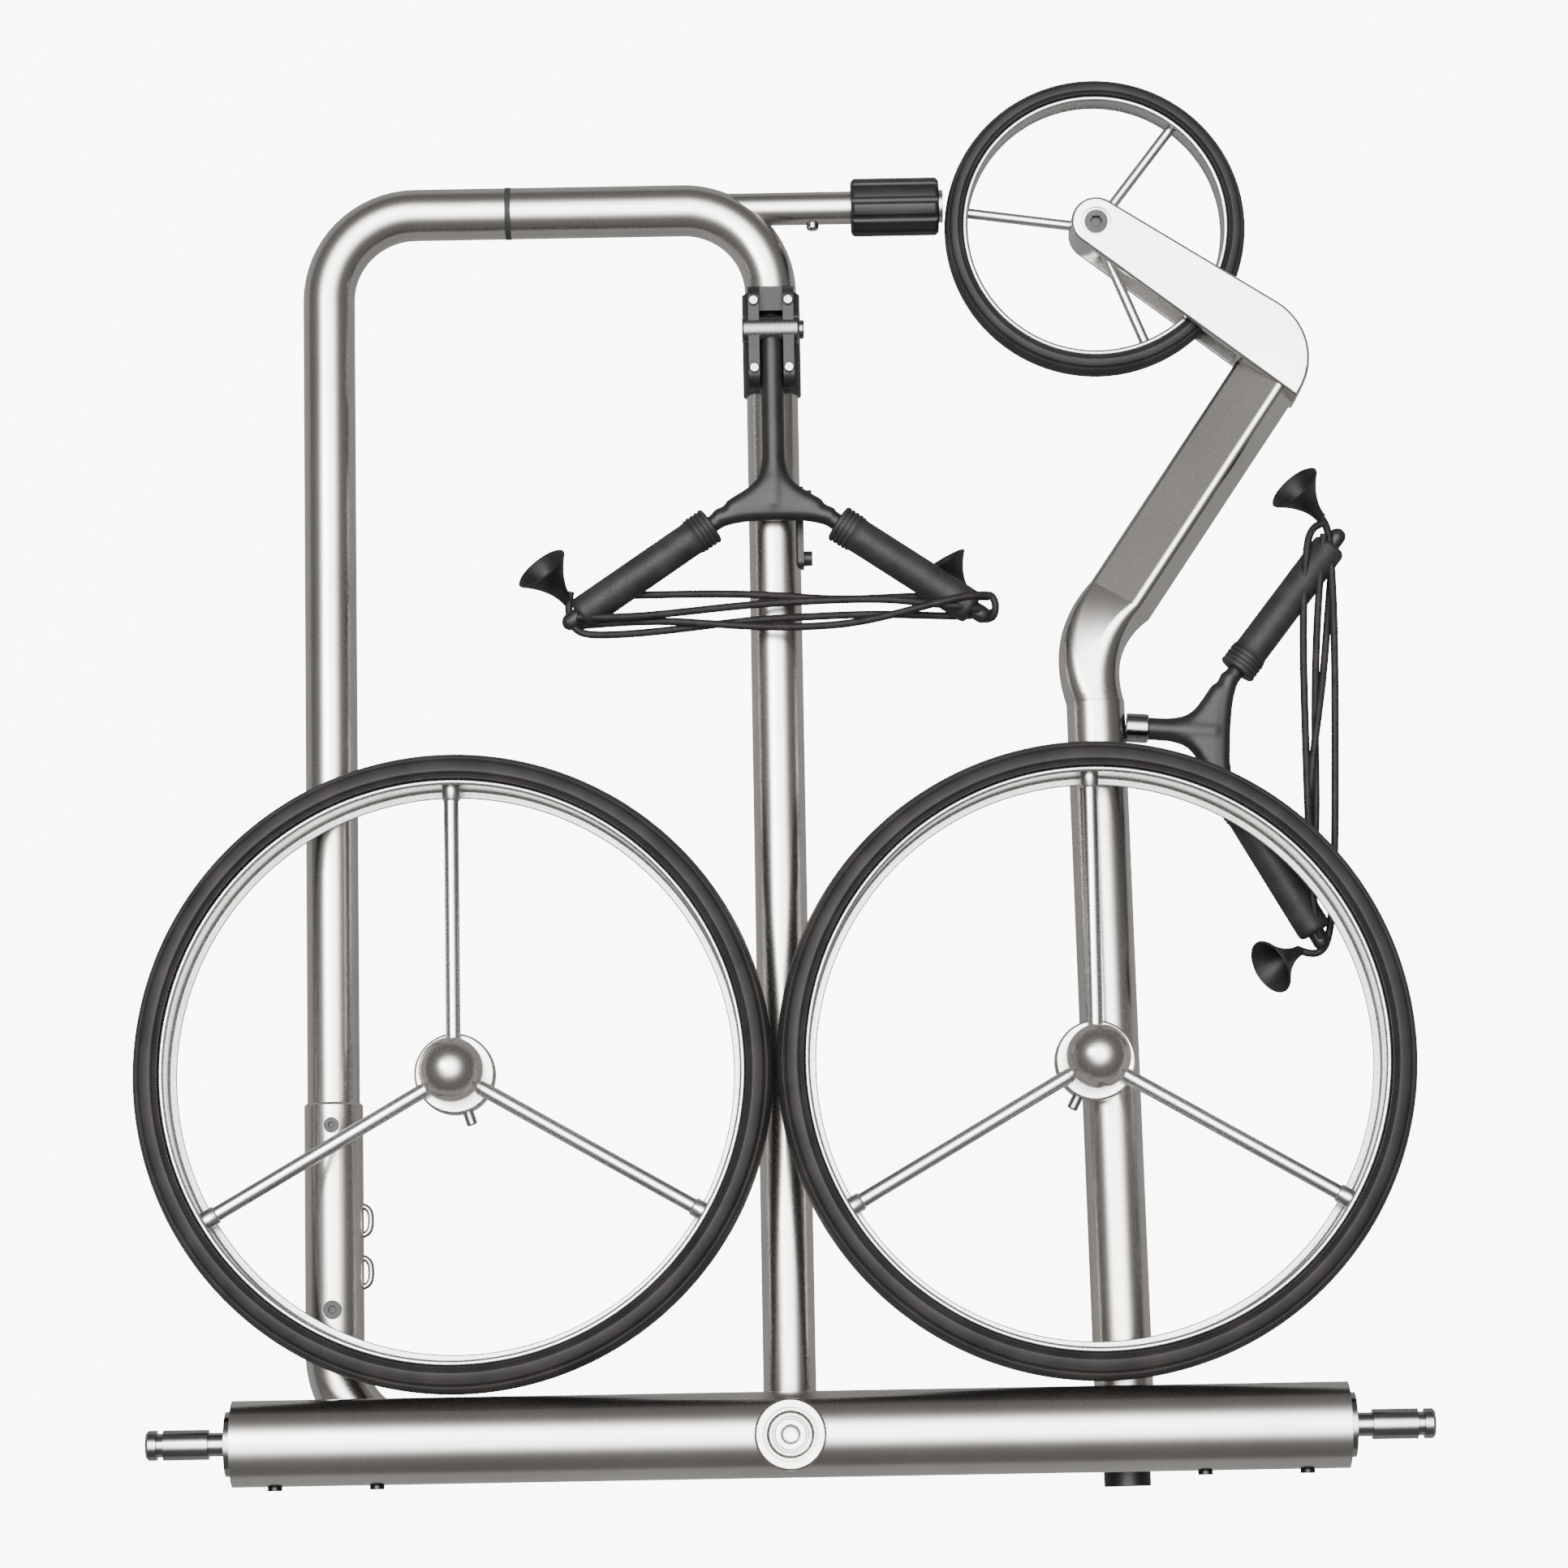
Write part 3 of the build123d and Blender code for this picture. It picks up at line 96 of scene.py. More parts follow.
def add_camera():
    """A long lens nearly straight above, rolled by one degree."""
    forward = Vector((0.0, math.cos(ELEVATION), -math.sin(ELEVATION)))
    rise = RIGHT.cross(forward)
    right = math.cos(ROLL) * RIGHT - math.sin(ROLL) * rise
    up = math.sin(ROLL) * RIGHT + math.cos(ROLL) * rise
    turned = Matrix((right, up, -forward)).transposed().to_4x4()
    data = bpy.data.cameras.new("camera")
    data.sensor_width = SENSOR_WIDTH
    data.lens = SENSOR_WIDTH * DISTANCE / VIEW_WIDTH
    data.clip_end = FAR_CLIP
    camera = bpy.data.objects.new("camera", data)
    camera.matrix_world = Matrix.Translation(LOOK_AT - DISTANCE * forward) @ turned
    SCENE.collection.objects.link(camera)
    SCENE.camera = camera


# ================= materials =================
NOISE_DETAIL = 4.0
NOISE_MIDDLE = (0.3, 0.7)       # the part of a noise's range where most of it lies
EDGE_SAMPLES = 4
WEAVE_TURNS = (45.0, -45.0)     # degrees


def link_noise(tree, vector, scale):
    """A noise texture read at the given vector."""
    node = tree.nodes.new("ShaderNodeTexNoise")
    node.inputs["Scale"].default_value = scale
    node.inputs["Detail"].default_value = NOISE_DETAIL
    tree.links.new(vector, node.inputs["Vector"])
    return node.outputs["Fac"]


def link_range(tree, value, low, high):
    """The middle of a noise's range spread over low to high."""
    node = tree.nodes.new("ShaderNodeMapRange")
    node.inputs["From Min"].default_value = NOISE_MIDDLE[0]
    node.inputs["From Max"].default_value = NOISE_MIDDLE[1]
    node.inputs["To Min"].default_value = low
    node.inputs["To Max"].default_value = high
    tree.links.new(value, node.inputs["Value"])
    return node.outputs["Result"]


def link_weave(tree, place, scale):
    """Two sets of diagonal ridges, the higher one at each point."""
    ridges = []
    for degrees in WEAVE_TURNS:
        turned = tree.nodes.new("ShaderNodeMapping")
        turned.inputs["Rotation"].default_value = [math.radians(degrees)] * 3
        wave = tree.nodes.new("ShaderNodeTexWave")
        wave.inputs["Scale"].default_value = scale
        tree.links.new(place, turned.inputs["Vector"])
        tree.links.new(turned.outputs["Vector"], wave.inputs["Vector"])
        ridges.append(wave.outputs["Fac"])
    higher = tree.nodes.new("ShaderNodeMath")
    higher.operation = "MAXIMUM"
    for ridge, socket in zip(ridges, higher.inputs):
        tree.links.new(ridge, socket)
    return higher.outputs["Value"]


def surface(name, dark, light, rough, grain, bump, depth, metallic=0.0, blotch=25.0, stretch=(1, 1, 1),
            edge=0.0, weave=0.0, shine=0.5):
    """A procedural finish in the piece's own coordinates.

    Colour drifts from dark to light over blotches, roughness over the rough pair, and a fine grain of the
    given scale is raised by depth metres at strength bump.  Edge rounds sharp edges, stretch draws the grain
    out, and weave raises crossed ridges in place of the grain.
    """
    material = bpy.data.materials.new(name)
    material.use_nodes = True
    tree = material.node_tree
    shader = tree.nodes["Principled BSDF"]
    place = tree.nodes.new("ShaderNodeTexCoord").outputs["Object"]
    mapping = tree.nodes.new("ShaderNodeMapping")
    mapping.inputs["Scale"].default_value = stretch
    tree.links.new(place, mapping.inputs["Vector"])

    drift = link_noise(tree, place, blotch)
    mix = tree.nodes.new("ShaderNodeMix")
    mix.data_type = "RGBA"
    mix.inputs["A"].default_value = (*dark, 1.0)
    mix.inputs["B"].default_value = (*light, 1.0)
    tree.links.new(link_range(tree, drift, 0.0, 1.0), mix.inputs["Factor"])
    tree.links.new(mix.outputs["Result"], shader.inputs["Base Color"])
    fine = link_noise(tree, mapping.outputs["Vector"], grain)
    tree.links.new(link_range(tree, fine, rough[0], rough[1]), shader.inputs["Roughness"])

    raised = tree.nodes.new("ShaderNodeBump")
    raised.inputs["Strength"].default_value = bump
    raised.inputs["Distance"].default_value = depth
    height = link_weave(tree, place, weave) if weave else fine
    tree.links.new(height, raised.inputs["Height"])
    if edge:
        rounded = tree.nodes.new("ShaderNodeBevel")
        rounded.samples = EDGE_SAMPLES
        rounded.inputs["Radius"].default_value = edge
        tree.links.new(rounded.outputs["Normal"], raised.inputs["Normal"])
    tree.links.new(raised.outputs["Normal"], shader.inputs["Normal"])

    shader.inputs["Metallic"].default_value = metallic
    shader.inputs["Specular IOR Level"].default_value = shine
    return material


EDGE_R = 0.0005
METAL = {"metallic": 1.0, "edge": EDGE_R, "depth": 6e-6}

# One finish for each material slot of the record.
FINISHES = {
    "satin_steel": dict(
        METAL, dark=(0.50, 0.475, 0.445), light=(0.56, 0.535, 0.505), rough=(0.20, 0.28),
        grain=2600, bump=0.35),
    "fork_steel": dict(
        METAL, dark=(0.50, 0.49, 0.475), light=(0.58, 0.57, 0.555), rough=(0.20, 0.28),
        grain=2600, bump=0.35),
    "chrome_pin": dict(
        METAL, dark=(0.26, 0.26, 0.26), light=(0.36, 0.36, 0.355), rough=(0.10, 0.20),
        grain=900, bump=0.10, depth=4e-6),
    "screw_steel": dict(
        METAL, dark=(0.020, 0.020, 0.020), light=(0.040, 0.040, 0.039), rough=(0.28, 0.42),
        grain=1500, bump=0.20),
    "rim_alloy": dict(
        METAL, dark=(0.50, 0.495, 0.48), light=(0.58, 0.575, 0.56), rough=(0.22, 0.32),
        grain=700, bump=0.12, stretch=(1, 1, 8)),
    "spoke_steel": dict(
        METAL, dark=(0.60, 0.585, 0.565), light=(0.68, 0.665, 0.645), rough=(0.20, 0.30),
        grain=1800, bump=0.20),
    "hub_steel": dict(
        METAL, dark=(0.54, 0.515, 0.485), light=(0.60, 0.575, 0.545), rough=(0.20, 0.28),
        grain=2600, bump=0.30),
    "bearing_steel": dict(
        METAL, dark=(0.16, 0.16, 0.16), light=(0.24, 0.24, 0.24), rough=(0.20, 0.32),
        grain=1200, bump=0.15),
    "tyre_rubber": dict(
        dark=(0.014, 0.013, 0.0125), light=(0.024, 0.022, 0.021), rough=(0.48, 0.66),
        grain=1400, bump=0.35, depth=2e-5, blotch=60.0, shine=0.22),
    "black_plastic": dict(
        dark=(0.007, 0.007, 0.0075), light=(0.013, 0.013, 0.014), rough=(0.34, 0.48),
        grain=1800, bump=0.30, depth=1e-5, edge=EDGE_R, blotch=80.0, shine=0.28),
    "grip_rubber": dict(
        dark=(0.009, 0.009, 0.0095), light=(0.020, 0.020, 0.021), rough=(0.46, 0.62),
        grain=1500, bump=0.60, depth=4e-5, blotch=90.0, shine=0.24),
    "horn_rubber": dict(
        dark=(0.005, 0.005, 0.0055), light=(0.011, 0.011, 0.012), rough=(0.40, 0.55),
        grain=1200, bump=0.30, depth=2e-5, blotch=120.0, shine=0.24),
    "cord_elastic": dict(
        dark=(0.008, 0.007, 0.007), light=(0.018, 0.015, 0.015), rough=(0.46, 0.62),
        grain=1500, bump=0.60, depth=6e-5, blotch=160.0, weave=420.0, shine=0.15),
    "nylon_bush": dict(
        dark=(0.66, 0.64, 0.59), light=(0.74, 0.72, 0.67), rough=(0.40, 0.55),
        grain=900, bump=0.20, depth=1e-5),
    "ring_black": dict(
        dark=(0.018, 0.018, 0.018), light=(0.030, 0.030, 0.030), rough=(0.45, 0.60),
        grain=1500, bump=0.30, depth=1e-5, shine=0.2),
}


def dress_nodes(materials):
    """Every CAD node gets the finish of its slot."""
    for subpart in frame["record"]["subparts"]:
        mesh = frame["nodes"][subpart["node"]].data
        mesh.materials.clear()
        mesh.materials.append(materials[subpart["material_slot"]])


# ================= studio =================
FLOOR_HALF = 4.0
FLOOR_Z = -0.30                 # low enough for the crank and the handle to swing down
PAPER_GLOW = 9.0                # what the lens sees of the lit paper under the object
BOUNCE_GLOW = 0.16              # what the paper throws back at the object
SKY = ((0.0, 0.014), (0.62, 0.014), (0.80, 0.030), (0.89, 0.30), (0.955, 0.90), (1.0, 1.0))   # height, level
SKY_STRENGTH = 13.0
SKY_TILT = math.radians(5.0)    # the bright part of the sky leans towards +Y
SOFTBOX_AT = Vector((-0.9, 0.3, 2.0))
SOFTBOX_SIZE = 0.8
SOFTBOX_POWER = 30.0


def add_floor():
    """Near-white paper that glows to the lens and throws only a little light back at the object."""
    bm = bmesh.new()
    corners = [bm.verts.new((x * FLOOR_HALF, y * FLOOR_HALF, FLOOR_Z))
               for x, y in ((-1, -1), (1, -1), (1, 1), (-1, 1))]
    bm.faces.new(corners)
    mesh = bpy.data.meshes.new("floor")
    bm.to_mesh(mesh)
    bm.free()
    floor = bpy.data.objects.new("floor", mesh)
    SCENE.collection.objects.link(floor)

    paper = surface("floor_paper", dark=(0.10, 0.10, 0.10), light=(0.12, 0.12, 0.12), rough=(0.85, 0.95),
                    grain=300, bump=0.05, depth=1e-4, blotch=2.0, shine=0.0)
    tree = paper.node_tree
    shader = tree.nodes["Principled BSDF"]
    glow = tree.nodes.new("ShaderNodeMapRange")
    glow.inputs["To Min"].default_value = BOUNCE_GLOW
    glow.inputs["To Max"].default_value = PAPER_GLOW
    seen = tree.nodes.new("ShaderNodeLightPath").outputs["Is Camera Ray"]
    tree.links.new(seen, glow.inputs["Value"])
    tree.links.new(glow.outputs["Result"], shader.inputs["Emission Strength"])
    shader.inputs["Emission Color"].default_value = (1.0, 1.0, 1.0, 1.0)
    mesh.materials.append(paper)


def add_sky():
    """Soft light from all round: bright overhead, dark near the horizon and below it."""
    world = bpy.data.worlds.new("studio")
    world.use_nodes = True
    tree = world.node_tree
    background = tree.nodes["Background"]
    direction = tree.nodes.new("ShaderNodeTexCoord").outputs["Generated"]
    tilted = tree.nodes.new("ShaderNodeMapping")
    split = tree.nodes.new("ShaderNodeSeparateXYZ")
    ramp = tree.nodes.new("ShaderNodeValToRGB")
    tilted.inputs["Rotation"].default_value = (SKY_TILT, 0.0, 0.0)
    tree.links.new(direction, tilted.inputs["Vector"])
    tree.links.new(tilted.outputs["Vector"], split.inputs["Vector"])
    tree.links.new(split.outputs["Z"], ramp.inputs["Fac"])
    tree.links.new(ramp.outputs["Color"], background.inputs["Color"])
    ramp.color_ramp.interpolation = "B_SPLINE"
    stops = ramp.color_ramp.elements
    for height, level in SKY:
        if height == 0.0:
            stop = stops[0]
        elif height == 1.0:
            stop = stops[-1]
        else:
            stop = stops.new(height)
        stop.color = (level, level, level, 1.0)
    background.inputs["Strength"].default_value = SKY_STRENGTH
    SCENE.world = world


def add_softbox():
    """One soft lamp from the upper left, aimed at the object."""
    data = bpy.data.lights.new("softbox", "AREA")
    data.size = SOFTBOX_SIZE
    data.energy = SOFTBOX_POWER
    light = bpy.data.objects.new("softbox", data)
    light.location = SOFTBOX_AT
    light.rotation_euler = (-SOFTBOX_AT).to_track_quat("-Z", "Y").to_euler()
    SCENE.collection.objects.link(light)


# ================= mesh makers =================
SHARP_FROM = math.radians(38.0)     # edges that turn more than this stay sharp
PATH_STEPS = 8                      # along a tube, between two of its steering points
SOFTENING = 0.5                     # how far each round of melting moves a point to its neighbours' middle


def add_piece(name, bm, material, body, replaced=()):
    """Turns a bmesh into a smooth piece that rides on its body and stands for the replaced nodes."""
    bmesh.ops.recalc_face_normals(bm, faces=bm.faces)
    mesh = bpy.data.meshes.new(name)
    bm.to_mesh(mesh)
    bm.free()
    mesh.materials.append(material)
    mesh.polygons.foreach_set("use_smooth", [True] * len(mesh.polygons))
    mesh.set_sharp_from_angle(angle=SHARP_FROM)
    piece = bpy.data.objects.new(name, mesh)
    SCENE.collection.objects.link(piece)
    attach(piece, body)
    if replaced:
        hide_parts(*replaced)


def body_with(node):
    """The body a CAD node rides on."""
    return body_of(frame["nodes"][node])[0]


def ring_size(node):
    """Centre, outer radius and half width of a CAD ring that lies flat."""
    low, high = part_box(node)
    return (low + high) / 2, (high.x - low.x) / 2, (high.z - low.z) / 2


def left_end(node):
    """The middle of the left end of a CAD pin or ring that lies along X, and its length and radius."""
    low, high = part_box(node)
    return Vector((low.x, (low.y + high.y) / 2, (low.z + high.z) / 2)), high.x - low.x, (high.z - low.z) / 2


def lathe(bm, outline, origin, axis, steps, closed=False):
    """Adds a turned solid: outline of (radius, height) about the axis that starts at origin."""
    axis = axis.normalized()
    side = axis.orthogonal().normalized()
    spokes = [Matrix.Rotation(2 * math.pi * k / steps, 3, axis) @ side for k in range(steps)]
    rings = []
    for radius, height in outline:
        foot = origin + axis * height
        if radius == 0.0:
            rings.append([bm.verts.new(foot)] * steps)
        else:
            rings.append([bm.verts.new(foot + spoke * radius) for spoke in spokes])
    pairs = list(zip(rings, rings[1:]))
    if closed:
        pairs.append((rings[-1], rings[0]))
    for low, high in pairs:
        for k in range(steps):
            n = (k + 1) % steps
            corners = []
            for vert in (low[k], low[n], high[n], high[k]):
                if vert not in corners:
                    corners.append(vert)
            if len(corners) > 2:
                bm.faces.new(corners)


def tube(bm, points, radius, order=3, sides=24, cyclic=False):
    """Adds a round tube along a smooth curve that the points steer."""
    curve = bpy.data.curves.new("path", "CURVE")
    curve.dimensions = "3D"
    curve.bevel_depth = radius
    curve.bevel_resolution = sides // 2 - 1
    curve.use_fill_caps = not cyclic
    curve.resolution_u = PATH_STEPS
    spline = curve.splines.new("NURBS")
    spline.points.add(len(points) - 1)
    for point, control in zip(points, spline.points):
        control.co = (*point, 1.0)
    spline.order_u = order
    spline.use_endpoint_u = not cyclic
    spline.use_cyclic_u = cyclic
    holder = bpy.data.objects.new("path", curve)
    SCENE.collection.objects.link(holder)
    mesh = bpy.data.meshes.new_from_object(holder)
    bm.from_mesh(mesh)
    bpy.data.objects.remove(holder)
    bpy.data.curves.remove(curve)
    bpy.data.meshes.remove(mesh)


def melt(bm, voxel, rounds):
    """Joins overlapping solids into one skin and softens its creases."""
    mesh = bpy.data.meshes.new("melt")
    bm.to_mesh(mesh)
    bm.free()
    holder = bpy.data.objects.new("melt", mesh)
    SCENE.collection.objects.link(holder)
    remesh = holder.modifiers.new("join", "REMESH")
    remesh.mode = "VOXEL"
    remesh.voxel_size = voxel
    smooth = holder.modifiers.new("soften", "SMOOTH")
    smooth.factor = SOFTENING
    smooth.iterations = rounds
    bpy.context.view_layer.update()
    shaped = holder.evaluated_get(bpy.context.evaluated_depsgraph_get())
    result = bmesh.new()
    result.from_mesh(shaped.to_mesh())
    shaped.to_mesh_clear()
    bpy.data.objects.remove(holder)
    bpy.data.meshes.remove(mesh)
    return result


# ================= tyres =================
RING_STEPS = 220                # steps round a tyre or a rim
TREAD_POWER = 2.7               # how square the tyre's section is
TREAD_STEPS = 60
TREAD_WIDTH = 0.985             # of the CAD tyre's width
GROOVE_CLEAR = 0.2              # radians beside the tread's middle that no groove reaches
GROOVES = (                     # place, width and depth, as shares of the section's depth
    (0.70, 0.050, 0.16),
    (0.14, 0.060, 0.16),
)


def tyre_outline(seat, depth, half):
    """A squarish half-round section outside the seat, with fine grooves in both its sides."""
    front = []
    for k in range(TREAD_STEPS + 1):
        angle = 0.5 * math.pi * k / TREAD_STEPS
        r = seat + depth * math.cos(angle) ** (2 / TREAD_POWER)
        z = half * math.sin(angle) ** (2 / TREAD_POWER)
        if angle > GROOVE_CLEAR:
            for place, width, cut in GROOVES:
                away = (r - (seat + depth * place)) / (depth * width)
                z -= depth * cut * math.exp(-away ** 2)
        front.append((r, z))
    back = [(r, -z) for r, z in reversed(front[1:])]
    return back + front


def make_tyre(wheel, materials):
    """A grooved rubber tyre in the place of the plain CAD ring."""
    centre, radius, half = ring_size(wheel + "_tyre")
    seat = ring_size(wheel + "_rim")[1]
    outline = tyre_outline(seat, radius - seat, half * TREAD_WIDTH)
    bm = bmesh.new()
    lathe(bm, outline, centre, UP, steps=RING_STEPS, closed=True)
    add_piece(wheel + "_tyre_tread", bm, materials["tyre_rubber"], wheel + "_wheel",
              (wheel + "_tyre",))


# ================= rims and spokes =================
RIM_WALL = 1.92 * MM            # from the seat in to the well's middle
WELL_RISE = 0.50 * MM           # the well is wider by this each side of its middle
BEAD_R = 1.5 * MM
BEAD_TURN = 210.0               # degrees that the front bead curls round
BEAD_STEPS = 12
BEAD_FOOT_OUT = 0.35 * MM       # where the bead runs into the well
BEAD_FOOT_DOWN = 3.4 * MM
FLANGE_WALL = 1.6 * MM          # thickness of the rear flange
CORNER_UP = 1.2 * MM            # chamfer between well and flange
CORNER_IN = 1.0 * MM
LIP_BACK = 0.5 * MM             # rounding of the flange's inner edge
LIP_DOWN = 0.6 * MM
LIP_FOOT = 0.4 * MM
FLANGE_DEPTHS = {"left": 6.0 * MM, "right": 6.0 * MM, "front": 3.2 * MM}     # from the seat inwards


def make_rim(wheel, flange_depth, materials):
    """A rolled rim in the place of the CAD one: round front bead, shallow well and a rear flange."""
    centre, seat, half = ring_size(wheel + "_rim")
    well = seat - RIM_WALL
    flange = seat - flange_depth
    flange_top = FLANGE_WALL - half
    outline = [(seat, -half)]
    for k in range(BEAD_STEPS + 1):
        angle = math.radians(BEAD_TURN * k / BEAD_STEPS)
        outline.append((seat - BEAD_R * (1 - math.cos(angle)), half - BEAD_R * (1 - math.sin(angle))))
    outline += [
        (well + BEAD_FOOT_OUT, half - BEAD_FOOT_DOWN),
        (well + WELL_RISE, 0.5 * half),
        (well, 0.0),
        (well + WELL_RISE, -0.5 * half),
        (well, flange_top + CORNER_UP),
        (well - CORNER_IN, flange_top),
        (flange + LIP_BACK, flange_top),
        (flange, flange_top - LIP_DOWN),
        (flange + LIP_FOOT, -half),
    ]
    bm = bmesh.new()
    lathe(bm, outline, centre, UP, steps=RING_STEPS, closed=True)
    add_piece(wheel + "_rim_roll", bm, materials["rim_alloy"], wheel + "_wheel",
              (wheel + "_rim",))


SPOKE_ANGLES = (90, 210, 330)
FERRULE_R = 4.4 * MM
FERRULE_LENGTH = 7.0 * MM
FERRULE_ROUND_IN = 0.6 * MM     # rounding of the end nearest the hub
FERRULE_ROUND_ALONG = 0.8 * MM


def make_ferrules(wheel, materials):
    """Turned sleeves where the three spokes of a main wheel meet its rim."""
    centre, seat, _ = ring_size(wheel + "_rim")
    centre.z = ring_size(wheel + "_spokes")[0].z
    well = seat - RIM_WALL
    outline = ((0.0, 0.0), (FERRULE_R - FERRULE_ROUND_IN, 0.0), (FERRULE_R, FERRULE_ROUND_ALONG),
               (FERRULE_R, FERRULE_LENGTH), (0.0, FERRULE_LENGTH))
    bm = bmesh.new()
    for degrees in SPOKE_ANGLES:
        reach = Vector((math.cos(math.radians(degrees)), math.sin(math.radians(degrees)), 0.0))
        lathe(bm, outline, centre + reach * (well - FERRULE_LENGTH), reach, steps=32)
    add_piece(wheel + "_ferrules", bm, materials["spoke_steel"], wheel + "_wheel")


# ================= boss bolt =================
BOLT_SHANK_R = 5.0 * MM
BOLT_HEAD = (                   # millimetres: radius, and depth below the bolt's top
    (11.0, 5.0), (11.0, 1.2), (10.6, 0.4), (9.8, 0.0),      # the head's side and its rounded edge
    (8.6, 0.0), (8.1, 0.8), (7.5, 0.8), (7.0, 0.0),         # the turned groove
    (4.6, 0.0), (3.8, 0.7), (3.5, 3.6), (0.0, 4.2),         # the socket
)


def make_boss_bolt(materials):
    """The big button-headed bolt in the boss: narrower head, a turned groove and a socket."""
    low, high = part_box("boss_bolt")
    foot = Vector(((low.x + high.x) / 2, (low.y + high.y) / 2, low.z))
    top = high.z - low.z
    head = [(radius * MM, top - depth * MM) for radius, depth in BOLT_HEAD]
    shank = [(0.0, 0.0), (BOLT_SHANK_R, 0.0), (BOLT_SHANK_R, head[0][1])]
    bm = bmesh.new()
    lathe(bm, shank + head, foot, UP, steps=72)
    add_piece("boss_bolt_turned", bm, materials["fork_steel"], body_with("boss_bolt"),
              ("boss_bolt",))


# ================= hinge barrel =================
BARREL_R = 7.0 * MM
BARREL_CHAMFER = 0.8 * MM
PIN_HEAD_R = 4.6 * MM
PIN_HEAD_LENGTH = 2.4 * MM
PIN_HEAD_CHAMFER = 0.6 * MM


def make_hinge_barrel(materials):
    """The yoke's bright hinge barrel with a smaller head at its right end."""
    start, length, _ = left_end("yoke_hinge_pin")
    shoulder = length - PIN_HEAD_LENGTH
    outline = ((0.0, 0.0), (BARREL_R - BARREL_CHAMFER, 0.0), (BARREL_R, BARREL_CHAMFER),
               (BARREL_R, shoulder - BARREL_CHAMFER), (BARREL_R - BARREL_CHAMFER, shoulder),
               (PIN_HEAD_R, shoulder), (PIN_HEAD_R, length - PIN_HEAD_CHAMFER),
               (PIN_HEAD_R - PIN_HEAD_CHAMFER, length), (0.0, length))
    bm = bmesh.new()
    lathe(bm, outline, start, RIGHT, steps=48)
    add_piece("yoke_hinge_barrel", bm, materials["bearing_steel"],
              body_with("yoke_hinge_pin"), ("yoke_hinge_pin",))


# ================= joint band =================
BAND_OUT = 0.75 * MM            # how far the band stands over the CAD ring
BAND_IN = 0.9 * MM              # how far it reaches inside the CAD ring's outside
BAND_SIDE = 0.45 * MM           # how far it passes each end of the CAD ring
BAND_ROUND = 0.2 * MM


def make_joint_band(materials):
    """The dark ring at the handle joint, a little wider and prouder than the tube."""
    start, length, radius = left_end("joint_ring")
    start.x -= BAND_SIDE
    width = length + 2 * BAND_SIDE
    inner = radius - BAND_IN
    outer = radius + BAND_OUT
    outline = ((inner, 0.0), (outer - BAND_ROUND, 0.0), (outer, BAND_ROUND), (outer, width - BAND_ROUND),
               (outer - BAND_ROUND, width), (inner, width))
    bm = bmesh.new()
    lathe(bm, outline, start, RIGHT, steps=72, closed=True)
    add_piece("joint_band", bm, materials["ring_black"], body_with("joint_ring"),
              ("joint_ring",))


# ================= strap rings =================
RING_REACH = 6.5 * MM           # half a loop's size across the sleeve
RING_HALF = 7.5 * MM            # half a loop's size along the sleeve
RING_SHAPE = (                  # control points as shares of those halves, without the wire
    (1.1, 0.0), (1.0, 0.75), (0.5, 1.15), (-0.5, 1.15), (-1.0, 0.75),
    (-1.1, 0.0), (-1.0, -0.75), (-0.5, -1.15), (0.5, -1.15), (1.0, -0.75),
)


def make_strap_rings(materials):
    """Two bent-wire loops on the sleeve's inner side."""
    low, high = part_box("strap_loops")
    wire = (high.z - low.z) / 2
    height = (low.z + high.z) / 2
    bm = bmesh.new()
    for y in (low.y + RING_HALF, high.y - RING_HALF):
        centre = Vector((high.x - RING_REACH, y, height))
        path = [centre + Vector(((RING_REACH - wire) * across, (RING_HALF - wire) * along, 0.0))
                for across, along in RING_SHAPE]
        tube(bm, path, wire, sides=16, cyclic=True)
    add_piece("strap_rings", bm, materials["chrome_pin"], body_with("strap_loops"),
              ("strap_loops",))


# ================= yoke frames =================
UPPER_ARM_ROOT = 74.3 * MM      # where the arms' lines meet, along the stem
LOWER_ARM_ROOT = 44.2 * MM
UPPER_STEM_FROM = 3.0 * MM
LOWER_STEM_FROM = 15.6 * MM
STEM_R = 5.5 * MM
STEM_PAST_ROOT = 4.0 * MM
ARM_ANGLE = math.radians(56.0)  # between an arm and the stem's line
ARM_LENGTH = 118.5 * MM
ARM_R = 4.3 * MM
TIP_R = 4.6 * MM
# The crotch is filled by tubes that melt together, drawn in millimetres along the stem from the arms' root
# and across it.  A spine point has only a place along the stem; a web bar has its place and half length.
ARCH = ((17.5, -28), (15.0, -19), (14.2, -8), (14.2, 8), (15.0, 19), (17.5, 28))
SHOULDER = ((-12, 0.4), (-3, 1.4), (4, 6.0), (9, 13.0), (13.5, 21.0))
SPINE = (-2, 5, 12)
WEB_BARS = ((-6, 1.0), (-2, 3.0), (2, 5.5), (5, 9.0), (8, 13.0), (11, 18.0))
ARCH_R = ARM_R * 1.12
SHOULDER_R = STEM_R * 0.94
SPINE_R = STEM_R * 1.1
WEB_R = STEM_R * 0.96
MELT_SPARE = 1.02               # stem and arms start a little thicker, as melting thins them
FRAME_VOXEL = 0.9 * MM
FRAME_ROUNDS = 24


def joint_named(name):
    """A joint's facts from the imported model."""
    return next(joint for joint in frame["joints"] if joint["name"] == name)


def yoke_plane(joint, stem):
    """The yoke's own axes: stem direction, sideways, up; from its joint."""
    axes = Matrix((stem, UP.cross(stem), UP)).transposed().to_4x4()
    return Matrix.Translation(Vector(joint["pos_m"])) @ axes


def arm_spot(root, side, length):
    """A point on one arm's line."""
    return Vector((root + length * math.cos(ARM_ANGLE), side * length * math.sin(ARM_ANGLE), 0.0))


def near_root(root, along, across):
    """A point given in millimetres along the stem from the arms' root and across it."""
    return Vector((root + along * MM, across * MM, 0))


